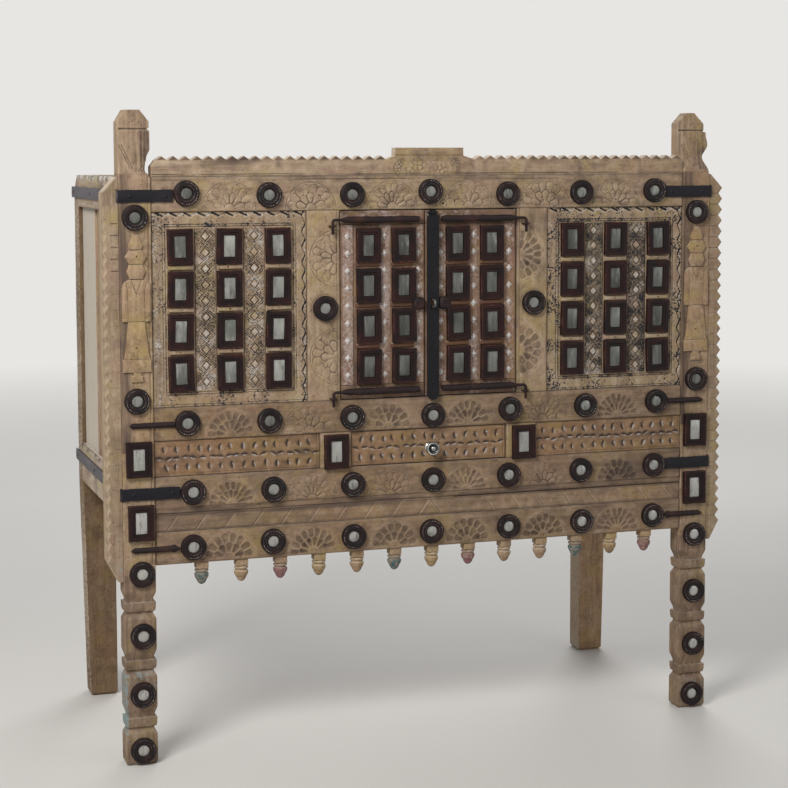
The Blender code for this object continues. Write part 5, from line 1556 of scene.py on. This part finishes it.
def strip_relief(side):
    def relief(work):
        off_edge = strip_edges(work.z, False, side)[1] - np.abs(work.x)
        work.depth += 0.001 * unit(1 - off_edge / 0.003) ** 2
        # Pale along the toothed edge: painted highlight.
        work.add(unit(1 - off_edge / 0.0022), pale=0.9)
        work.add(unit((work.z - 1.236) / 0.01) * (side < 0), soot=0.45)
        if side < 0:
            for number in range(5):
                z = 1.204 - 0.0258 * number
                work.cut(work.segment((-0.717, z), (-0.7315, z)), 0.0036, 0.0018, dirt=1.0, worn=0.3)
            for number in range(18):
                z = 1.05 - 0.034 * number
                work.cut(work.segment((-0.717, z), (-0.729, z)), 0.0022, 0.0006, dirt=0.4)
        else:
            for number in range(STRIP_TEETH):
                z = STRIP_TOP - (number + 0.5) * STRIP_RUN
                work.cut(work.segment((0.717, z), (0.738, z)), 0.0024, 0.0009,
                         dirt=0.8 if number < 9 else 0.3)
        for z in (0.98, 0.86, 0.7, 0.55, 0.5):
            work.hole(side * 0.736, z, 0.0016)
        low = unit((0.5 - work.z) / 0.05)
        work.add(low * work.cloud(0.02, 121), paint=0.5 if side < 0 else 0.15)
        work.stain(3, 0.03, 122 + side, 1, 0.5, dirt=0.35)
        work.stain(2, 0.05, 127 + side, 2, 0.3, soot=0.35 if side < 0 else 0.55)
        return work.wear(-1, 1, 0, 2, "Z", seed=124)
    return relief


strip_keys = {STRIP_TIP, STRIP_END, STRIP_HIGH}
strip_keys |= {STRIP_TOP - STRIP_RUN * number / 2 for number in range(2 * STRIP_TEETH)}
strip_keys |= {z + edge * off for low, high in STRAP_Z.values()
               for z, edge in ((low, -1), (high, 1)) for off in (0.0009, 0.0011)}
strip_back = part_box("front_post_left")[1].y
for label, side in SIDES:
    def strip_warp(x, z, s, t, behind, side=side):
        inner, outer = strip_edges(z, behind, side)
        share = 1 - s if side < 0 else s
        return side * (inner + (outer - inner) * share), z

    def backing_warp(x, z, s, t, behind):
        return strip_warp(x, z, s, t, np.ones_like(behind))

    def bleached(work):
        work.add(1.0, pale=0.7)
        return work
    low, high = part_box(f"edge_strip_{label}")
    carved(f"edge_strip_{label}_toothed", (low.x, high.x), (STRIP_TIP, STRIP_HIGH), low.y, STRIP_T,
           strip_relief(side), pale_z, "pale_wood", stands_for=(f"edge_strip_{label}",), cell=0.0017,
           warp=strip_warp, rows=stepped(sorted(strip_keys), 0.0017))
    carved(f"edge_strip_{label}_backing", (low.x, high.x), (STRIP_TIP, STRIP_HIGH), low.y + STRIP_T + 0.0001,
           strip_back - low.y - STRIP_T, bleached, pale_z, "pale_wood", cell=0.006, warp=backing_warp,
           rows=stepped(sorted(strip_keys), 0.006))
print("strip teeth", STRIP_TEETH, "from", round(STRIP_IN, 4), "to", round(STRIP_OUT, 4))

# %% [markdown]
# ## Sides, back and top
# Each side is framed by two rails. Between them stand three upright boards with sunk strips between, so the
# grid gets a column on each side of every step. The back is of upright planks and the top of planks laid
# along. The same carved board does all of them, turned to its side.

# %% Sides
TO_LEFT, TO_RIGHT = Matrix.Rotation(-math.pi / 2, 4, "Z"), Matrix.Rotation(math.pi / 2, 4, "Z")
SIDE_BOARDS, SIDE_SUNK = ((-0.2502, -0.1518), (-0.1018, 0.0482), (0.08, 0.2682)), 0.008


def boarded(side, x0, x1, z0, z1, seed):
    """Three boards: cream ones at the rear and the front, and a brown one between them."""
    def relief(work):
        y = side * work.x
        raised = np.zeros_like(y)
        for start, end in SIDE_BOARDS:
            raised = np.maximum(raised, unit(np.minimum(y - start, end - y) / 0.0012 + 0.5))
        work.depth += SIDE_SUNK * (1 - raised)
        cream = (y < SIDE_BOARDS[0][1] - 0.001) | (y > SIDE_BOARDS[2][0] + 0.001)
        grain = work.cloud(0.008, seed, 1, 0.08)
        work.add(cream * (0.7 + 0.4 * grain), paint=1.0)
        work.add(cream * (work.cloud(0.0045, seed + 1, 1, 0.05) > 0.66), dirt=0.16)
        work.add(~cream * grain ** 2, soot=0.35)
        # The sunk strips are darker: painted shade in the recesses, with soot and dirt.
        work.add((1 - raised), soot=0.25, dirt=0.15)
        # Their ends by the rails are darker still: dirt and painted shade in the corners.
        foot = unit((z0 + 0.13 - work.z) / 0.03) + unit((work.z - z1 + 0.1) / 0.03)
        work.add((1 - raised) * foot, dirt=0.5)
        for crack in (-0.03, 0.012, 0.19):
            drift = 0.004 * mottle(work.z, work.z * 0, 0.1, seed)
            work.cut(np.abs(y - crack - drift), 0.0022, 0.001, dirt=0.5)
        return work.wear(x0, x1, z0, z1, "Z", seed=seed)
    return relief


def plain(x0, x1, z0, z1, along, seed, planks=(), nails=(), flaked=0.0):
    """Sawn boards with their seams and nail heads, and flaked paint along the top if there is any."""
    def relief(work):
        for seam in planks:
            off = np.abs((work.x if along == "Z" else work.z) - seam)
            work.cut(off, 0.005, 0.0035, dirt=0.95)
        for x, z in nails:
            work.hole(x, z, 0.0022)
        work.stain(3, 0.06, seed, dirt=0.4, soot=0.3)
        if flaked:
            edge = unit((work.z - z1 + 0.016) / 0.008)
            work.add(edge * (0.3 + work.cloud(0.02, seed + 1)), paint=flaked)
            work.add(edge * (work.cloud(0.018, seed + 2) > 0.55), ink=0.6)
        return work.wear(x0, x1, z0, z1, along, seed=seed)
    return relief


for label, side, turn in (("left", -1, TO_LEFT), ("right", 1, TO_RIGHT)):
    low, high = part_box(f"side_panel_{label}")
    ends = sorted((side * low.y, side * high.y))
    steps = sorted(side * y + off for board in SIDE_BOARDS for y in board for off in (-0.0006, 0.0006)
                   if ends[0] + 0.001 < side * y < ends[1] - 0.001)
    carved(f"side_panel_{label}_boarded", ends, (low.z, high.z), -max(abs(low.x), abs(high.x)),
           high.x - low.x, boarded(side, *ends, low.z, high.z, 131), lit_side_board_z, "pale_wood",
           stands_for=(f"side_panel_{label}",), cell=0.004, turn=turn,
           columns=stepped([ends[0], *steps, ends[1]], 0.004))
    for name in ("top", "bottom"):
        low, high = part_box(f"side_{name}_rail_{label}")
        ends = sorted((side * low.y, side * high.y))
        nails = [(end + (0.018 if end < 0 else -0.018), z) for end in ends
                 for z in (low.z + 0.02, high.z - 0.02)]
        sawn = plain(*ends, low.z, high.z, "X", 133, nails=nails, flaked=0.6 if name == "top" else 0.25)
        carved(f"side_{name}_rail_{label}_worn", ends, (low.z, high.z), -max(abs(low.x), abs(high.x)),
               high.x - low.x, sawn, lit_side_rail_y, "honey_wood", stands_for=(f"side_{name}_rail_{label}",),
               cell=0.003, turn=turn)
print("sides")

# %% Back and top
low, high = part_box("back_panel")
seams = [low.x + (high.x - low.x) * number / 7 for number in range(1, 7)]
nails = [(seam + off, z) for seam in seams for off in (-0.03, 0.03) for z in (0.575, 1.28)]
carved("back_planks", (low.x, high.x), (low.z, high.z), -high.y, high.y - low.y,
       plain(low.x, high.x, low.z, high.z, "Z", 141, seams, nails), inner_z, "inner_wood",
       stands_for=("back_panel",), cell=0.004, turn=Matrix.Rotation(math.pi, 4, "Z"))
TO_TOP, TOP_HALF, TOP_EDGE = Matrix.Rotation(-math.pi / 2, 4, "X"), 0.6325, (-0.2498, 0.268)
low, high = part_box("top_board")
seams = [low.y + (high.y - low.y) * number / 4 for number in range(1, 4)]
carved("top_planks", (-TOP_HALF, TOP_HALF), (low.y, high.y), -high.z, high.z - low.z,
       plain(-TOP_HALF, TOP_HALF, low.y, high.y, "X", 142, seams), inner_x, "inner_wood",
       stands_for=("top_board",), cell=0.004, turn=TO_TOP)
for label, side in SIDES:
    ends = sorted((side * 0.6332, side * high.x))
    carved(f"top_edge_{label}", ends, TOP_EDGE, -high.z, high.z - low.z,
           plain(*ends, *TOP_EDGE, "Z", 143), inner_y, "inner_wood", cell=0.004, turn=TO_TOP)
for name, finish in (("shelf_board", inner_x), ("bottom_board", inner_x), ("drawer_runner_left", inner_y),
                     ("drawer_runner_right", inner_y), ("drawer_box", inner_y), ("drawer_bottom", inner_y)):
    nodes[name].data.materials.clear()
    nodes[name].data.materials.append(finish)
print("back, top and inner boards")

# %% [markdown]
# ## Turned drops
# Thirteen drops hang under the lowest rail. Each has a square neck, then a turned bead, cup and point. Some
# keep their turquoise or rose paint.

# %% Drops
DROP_Y = FRONT + RAIL_T / 2


def drop_neck(bm, x):
    made = block(bm, (x, DROP_Y, 0.4395), 0.0275, 0.0275, 0.016)
    edges = {edge for vert in made for edge in vert.link_edges}
    rounded(bm, edges, 0.0015)


drop_profile = [(0.0, 0.0385), (0.0118, 0.0385), (0.0118, 0.0358), (0.0148, 0.0344), (0.016, 0.0322),
                (0.0148, 0.03), (0.0124, 0.029), (0.0134, 0.027), (0.0162, 0.0244), (0.0156, 0.018),
                (0.0124, 0.012), (0.0112, 0.0112), (0.0108, 0.008), (0.0072, 0.003), (0.003, 0.0004),
                (0.0, 0.0)]
drop = spun("turned_drop", drop_profile, 20, axis="Z")
PAINTED = {"turquoise": (0, 5, 10), "rose": (2, 7, 12)}
for name, finish in (("turquoise", turquoise), ("rose", rose), ("plain", honey_z)):
    numbers = PAINTED.get(name) or [n for n in range(DROPS)
                                    if n not in PAINTED["turquoise"] + PAINTED["rose"]]
    spots = [(drop_x(number), DROP_Y, 0.3945) for number in numbers]
    stamped(f"drops_{name}", spots, drop, finish, "old_paint" if name != "plain" else "honey_wood", seed=151,
            sway=0.0)
bm = bmesh.new()
for number in range(DROPS):
    drop_neck(bm, drop_x(number))
piece("drop_necks", bm, honey_z, "honey_wood")
print("drops", DROPS)

# %% [markdown]
# ## Forged iron
# Straps wrap the corners, spikes lie over the joints, and bars and wires carry the doors. A strap is a strip
# of grid bent round the corner and made thick. A bar is a bevelled curve with a radius at each point.

# %% Straps and spikes
def thickened(bm, thick):
    """Turn a strip's faces to the front and give it a thickness."""
    bmesh.ops.recalc_face_normals(bm, faces=bm.faces[:])
    bm.normal_update()
    if foremost(bm).normal.y > 0:
        bmesh.ops.reverse_faces(bm, faces=bm.faces[:])
    bmesh.ops.solidify(bm, geom=bm.faces[:], thickness=thick)


def bent_strap(name, side, low, high, inner):
    """A flat strap along the front, round the corner and back along the side, its faces a little domed."""
    bm = bmesh.new()
    bmesh.ops.create_grid(bm, x_segments=150, y_segments=8, size=0.5)
    flat = np.array([vert.co for vert in bm.verts])
    corner_x, corner_y, rear = 0.7153 + 0.003, FRONT - 0.0033, 0.33
    front_run = corner_x - inner
    along = (flat[:, 0] + 0.5) * (front_run + rear - corner_y)
    tall = (flat[:, 1] + 0.5) * (high - low) + low
    wave = 0.0005 * (mottle(along, tall * 3, 0.02, 161) - 0.5)
    dome = 0.0009 * (1 - (2 * flat[:, 1]) ** 2) + wave
    tall = tall + np.where(np.abs(flat[:, 1]) > 0.45, 3 * wave, 0.0)
    on_front = along < front_run
    x = np.where(on_front, inner + along, corner_x + dome)
    y = np.where(on_front, corner_y - dome, corner_y + along - front_run)
    for vert, *place in zip(bm.verts, side * x, y, tall):
        vert.co = place
    thickened(bm, 0.0028)
    for spot in (0.69, inner + 0.016):
        nail_head(bm, (side * spot, corner_y - 0.001, (low + high) / 2), (0, -1, 0))
    for y_at in (-0.24, 0.05, 0.3):
        nail_head(bm, (side * (corner_x + 0.001), y_at, (low + high) / 2), (side, 0, 0))
    piece(name, bm, black_iron, "black_iron", stands_for=(name.replace("_forged", ""),))


def nail_head(bm, at, towards, radius=0.0042):
    """A low forged nail head."""
    turn = Vector((0, 0, 1)).rotation_difference(Vector(towards)).to_matrix().to_4x4()
    shape = Matrix.Translation(at) @ turn @ Matrix.Diagonal((1.0, 1.0, 0.42, 1.0))
    bmesh.ops.create_uvsphere(bm, u_segments=10, v_segments=6, radius=radius, matrix=shape)


def inner_end(side, row):
    """Where iron may start beside the last ring of a rail."""
    return abs(rail_rings[row][0 if side < 0 else -1][0]) + RING_R + 0.0015


for label, side in SIDES:
    for (level, (low_z, high_z)), row in zip(STRAP_Z.items(), ("top_rail", "lower_rail")):
        bent_strap(f"corner_strap_{level}_{label}_forged", side, low_z, high_z, inner_end(side, row))
    for level in ("middle", "bottom"):
        z = RAIL_RING_Z[f"{level}_rail"]
        low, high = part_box(f"spike_{level}_{label}")
        blunt = level == "middle"

        def spike_warp(x, z_in, s, t, behind, side=side, z=z, blunt=blunt):
            towards = s if side > 0 else 1 - s
            half = 0.0064 * np.clip((1.02 - towards) / 0.09, 0.12, 1.0)
            if not blunt:
                flare = 1 + 0.35 * unit(1 - np.abs(towards - 0.12) / 0.08)
                half = half * flare * np.clip((towards + 0.02) / 0.11, 0.2, 1.0)
            return x, z + (2 * t - 1) * (half - 0.0006 * towards)

        def spike_relief(work, z=z):
            work.depth += 0.0042 * unit(np.abs(work.z - z) / 0.0066) ** 2
            work.depth += 0.0006 * work.cloud(0.006, 165)
            return work
        ends = sorted((side * inner_end(side, f"{level}_rail"), side * max(abs(low.x), abs(high.x))))
        carved(f"spike_{level}_{label}_forged", ends, (z - 0.0065, z + 0.0065), FRONT - 0.0082, 0.0079,
               spike_relief, brown_iron, "black_iron", stands_for=(f"spike_{level}_{label}",), cell=0.0015,
               warp=spike_warp)
print("straps and spikes")

# %% Hinges, staples, hasp and lock
def forged(name, points, radii, thick, finish, slot, body, stands_for):
    """A forged bar or wire along points, with a share of its radius at each."""
    curve = bpy.data.curves.new(name, "CURVE")
    curve.dimensions = "3D"
    curve.bevel_depth = thick
    curve.bevel_resolution = 3
    curve.use_fill_caps = True
    spline = curve.splines.new("POLY")
    spline.points.add(len(points) - 1)
    for point, place, radius in zip(spline.points, points, radii):
        point.co = (*place, 1.0)
        point.radius = radius
    helper = linked(name + "_route", curve)
    graph = bpy.context.evaluated_depsgraph_get()
    mesh = bpy.data.meshes.new_from_object(helper.evaluated_get(graph))
    bpy.data.objects.remove(helper)
    bpy.data.curves.remove(curve)
    bm = bmesh.new()
    bm.from_mesh(mesh)
    bpy.data.meshes.remove(mesh)
    bmesh.ops.remove_doubles(bm, verts=bm.verts[:], dist=1e-6)
    return piece(name, bm, finish, slot, body, stands_for)


def bow(middle, radius, start, end, steps):
    """Points round a centre, from one angle in degrees to another."""
    angles = [math.radians(start + (end - start) * i / steps) for i in range(steps + 1)]
    return [(middle[0] + radius * math.cos(a), middle[1] + radius * math.sin(a)) for a in angles]


BAR_R, PIN_R, HINGE_X, HINGE_Y = 0.0084, 0.0035, 0.234, FRONT - 0.01
BAR_LEVEL = {"upper": 1.206, "lower": 0.816}
rng = np.random.default_rng(171)
for label, side in SIDES:
    for level, z in BAR_LEVEL.items():
        y = LEAF_FACE - 0.0003 - BAR_R
        reach = np.linspace(0.0275, 0.196, 16)
        route = [(0.0262, y, z)] + [(x, y, z + rng.normal(0, 0.0003)) for x in reach]
        route += [(0.206, y + 0.0005, z), (0.2135, HINGE_Y + 0.001, z)]
        radii = [0.35, 0.78] + [0.93 + rng.normal(0, 0.02) for _ in reach[1:]] + [0.68, PIN_R / BAR_R]
        for x, height in bow((HINGE_X - 0.006, z - 0.006), 0.006, 90, 0, 7):
            route.append((x, HINGE_Y, height))
            radii.append(PIN_R / BAR_R)
        route += [(HINGE_X, HINGE_Y, z - 0.031), (HINGE_X, HINGE_Y, z - 0.033)]
        radii += [0.38, 0.2]
        forged(f"hinge_bar_{level}_{label}_forged", [(side * x, y, h) for x, y, h in route], radii, BAR_R,
               brown_iron, "black_iron", f"door_{label}", (f"hinge_bar_{level}_{label}",))
        arch, root = PIN_R + 0.0007 + 0.0018, FRONT + 0.004
        plan = bow((HINGE_X, HINGE_Y), arch, 0, -180, 14)
        plan = [(HINGE_X + arch, root), *plan, (HINGE_X - arch, root)]
        forged(f"hinge_staple_{level}_{label}_forged", [(side * x, y, z - 0.014) for x, y in plan],
               [1.0] * len(plan), 0.0018, brown_iron, "black_iron", "case",
               (f"hinge_staple_{level}_{label}",))

HASP_X, HASP_Y, HASP_Z, LOCK_Z = 0.005, FRONT - 0.0075, 1.221, DOOR_MIDDLE
turn_y, root = HASP_Y + 0.0025, LEAF_FACE + 0.004
plan = [(-0.01, root), (-0.01, turn_y), *bow((-0.0075, turn_y), 0.0025, 180, 270, 4)]
plan += [*bow((0.0075, turn_y), 0.0025, 270, 360, 4), (0.01, root)]
forged("hasp_staple_forged", [(HASP_X + x, y, HASP_Z) for x, y in plan], [1.0] * len(plan), 0.0025,
       black_iron, "black_iron", "door_right", ("hasp_staple",))
arch = bow((FRONT - 0.016, LOCK_Z), 0.008, 270, 90, 14)
route = [(root, LOCK_Z - 0.008), *arch, (root, LOCK_Z + 0.008)]
forged("lock_staple_worn", [(HASP_X, y, z) for y, z in route], [1.0] * len(route), 0.003, dull_metal,
       "bright_metal", "door_right", ("lock_staple",))
print("hinges, staples and lock")

# %% [markdown]
# ## The hasp
# The long hasp hangs from a staple at the top of the right leaf and drops its slot over the lock staple. It
# is a strip of grid whose sides follow an outline. The slot's faces are deleted before the strip is made
# thick.

# %% Hasp and lock plates
HASP_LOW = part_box("hasp_bar")[0].z
bm = bmesh.new()
bmesh.ops.create_grid(bm, x_segments=14, y_segments=214, size=0.5)
flat = np.array([vert.co for vert in bm.verts])
z = HASP_LOW + (flat[:, 1] + 0.5) * (HASP_Z - HASP_LOW)
foot = np.sqrt(np.clip(0.014 ** 2 - np.clip(HASP_LOW + 0.014 - z, 0.0, None) ** 2, 0.0018 ** 2, None))
shoulder = unit((HASP_Z - 0.0055 - z) / 0.006)
wave = 0.0005 * (mottle(z, z * 0, 0.015, 181) - 0.5)
half = np.minimum(foot, 0.0065 + 0.0075 * np.sqrt(1 - (1 - shoulder) ** 2)) + wave
x = HASP_X + flat[:, 0] * 2 * half
y = HASP_Y - 0.0024 + 0.0006 * (mottle(x, z, 0.012, 182) - 0.5)
for vert, *place in zip(bm.verts, x, y, z):
    vert.co = place
slot_faces = [face for face in bm.faces if abs(face.calc_center_median().x - HASP_X) < 0.0058
              and abs(face.calc_center_median().z - LOCK_Z) < 0.0135]
bmesh.ops.delete(bm, geom=slot_faces, context="FACES")
thickened(bm, 0.0048)
barrel = Matrix.Translation((HASP_X, HASP_Y, HASP_Z)) @ Matrix.Rotation(math.pi / 2, 4, "Y")
bmesh.ops.create_cone(bm, cap_ends=True, segments=20, radius1=0.006, radius2=0.006, depth=0.0132,
                      matrix=barrel)
for height in (1.185, 1.1, 0.93, 0.83):
    nail_head(bm, (HASP_X, HASP_Y - 0.0024, height), (0, -1, 0), 0.0034)
piece("hasp_bar_forged", bm, hasp_iron, "black_iron", "hasp", ("hasp_bar",))

for label, spread in (("left", (-0.006, 0.0)), ("right", (0.0, 0.013))):
    low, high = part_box(f"lock_plate_{label}")
    low.x, high.x = low.x + spread[0], high.x + spread[1]
    bm = bmesh.new()
    bmesh.ops.create_icosphere(bm, subdivisions=4, radius=0.5)
    for vert in bm.verts:
        vert.co = [math.copysign(0.5 * (2 * abs(value)) ** 0.6, value) for value in vert.co]
    bmesh.ops.scale(bm, vec=(high.x - low.x, 0.02, (high.z - low.z) * 1.06), verts=bm.verts[:])
    centre = ((low.x + high.x) / 2, high.y - 0.0015, (low.z + high.z) / 2)
    bmesh.ops.translate(bm, verts=bm.verts[:], vec=centre)
    for vert in bm.verts:
        lump = 0.003 * (mottle(np.array([vert.co.x]), np.array([vert.co.z]), 0.006, 183)[0] - 0.5)
        vert.co.y = min(vert.co.y - lump, high.y)
    piece(f"lock_plate_{label}_forged", bm, brown_iron, "black_iron", f"door_{label}",
          (f"lock_plate_{label}",))
print("hasp and lock plates")

# %% [markdown]
# ## The drawer knob
# The knob is turned metal: a rose against the wood, a neck, and a head whose front is dished round a small
# boss. One profile, spun round, makes it, and the dish is painted dark: a painted reflection.

# %% Knob
low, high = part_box("drawer_knob")
knob_profile = [(0.0, 0.0), (0.0112, 0.0), (0.0118, -0.001), (0.0104, -0.003), (0.007, -0.0044),
                (0.0064, -0.012), (0.0104, -0.0176), (0.015, -0.021), (0.0164, -0.024), (0.016, -0.027),
                (0.0142, -0.0288), (0.0122, -0.0284), (0.011, -0.0262), (0.0092, -0.0246), (0.0066, -0.0242),
                (0.0055, -0.0256), (0.005, -0.0288), (0.0032, -0.0304), (0.0, -0.0308)]


# The dish's points, painted dark on the metal: a painted reflection.
def in_dish(co):
    return 1.0 if 0.0056 < math.hypot(co.x, co.z) < 0.01 and co.y < -0.018 else 0.0


knob = spun("knob_shape", knob_profile, 36, chips=in_dish)
made = stamped("drawer_knob_turned", [((low.x + high.x) / 2, high.y, (low.z + high.z) / 2 - 0.005)], knob,
               bright_metal, "bright_metal", "drawer", sway=0.0)
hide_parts("drawer_knob")
print("knob", round(high.y - low.y, 4))

# %% Finish
visual_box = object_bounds()
sizes = {"cad": [list(corner) for corner in cad_box], "visual": [list(corner) for corner in visual_box]}
faces = sum(len(item.data.polygons) for item in bpy.data.objects
            if item.type == "MESH" and not item.hide_render)
print("faces shown", faces)
print("box", [[round(value, 4) for value in corner] for corner in sizes["visual"]])
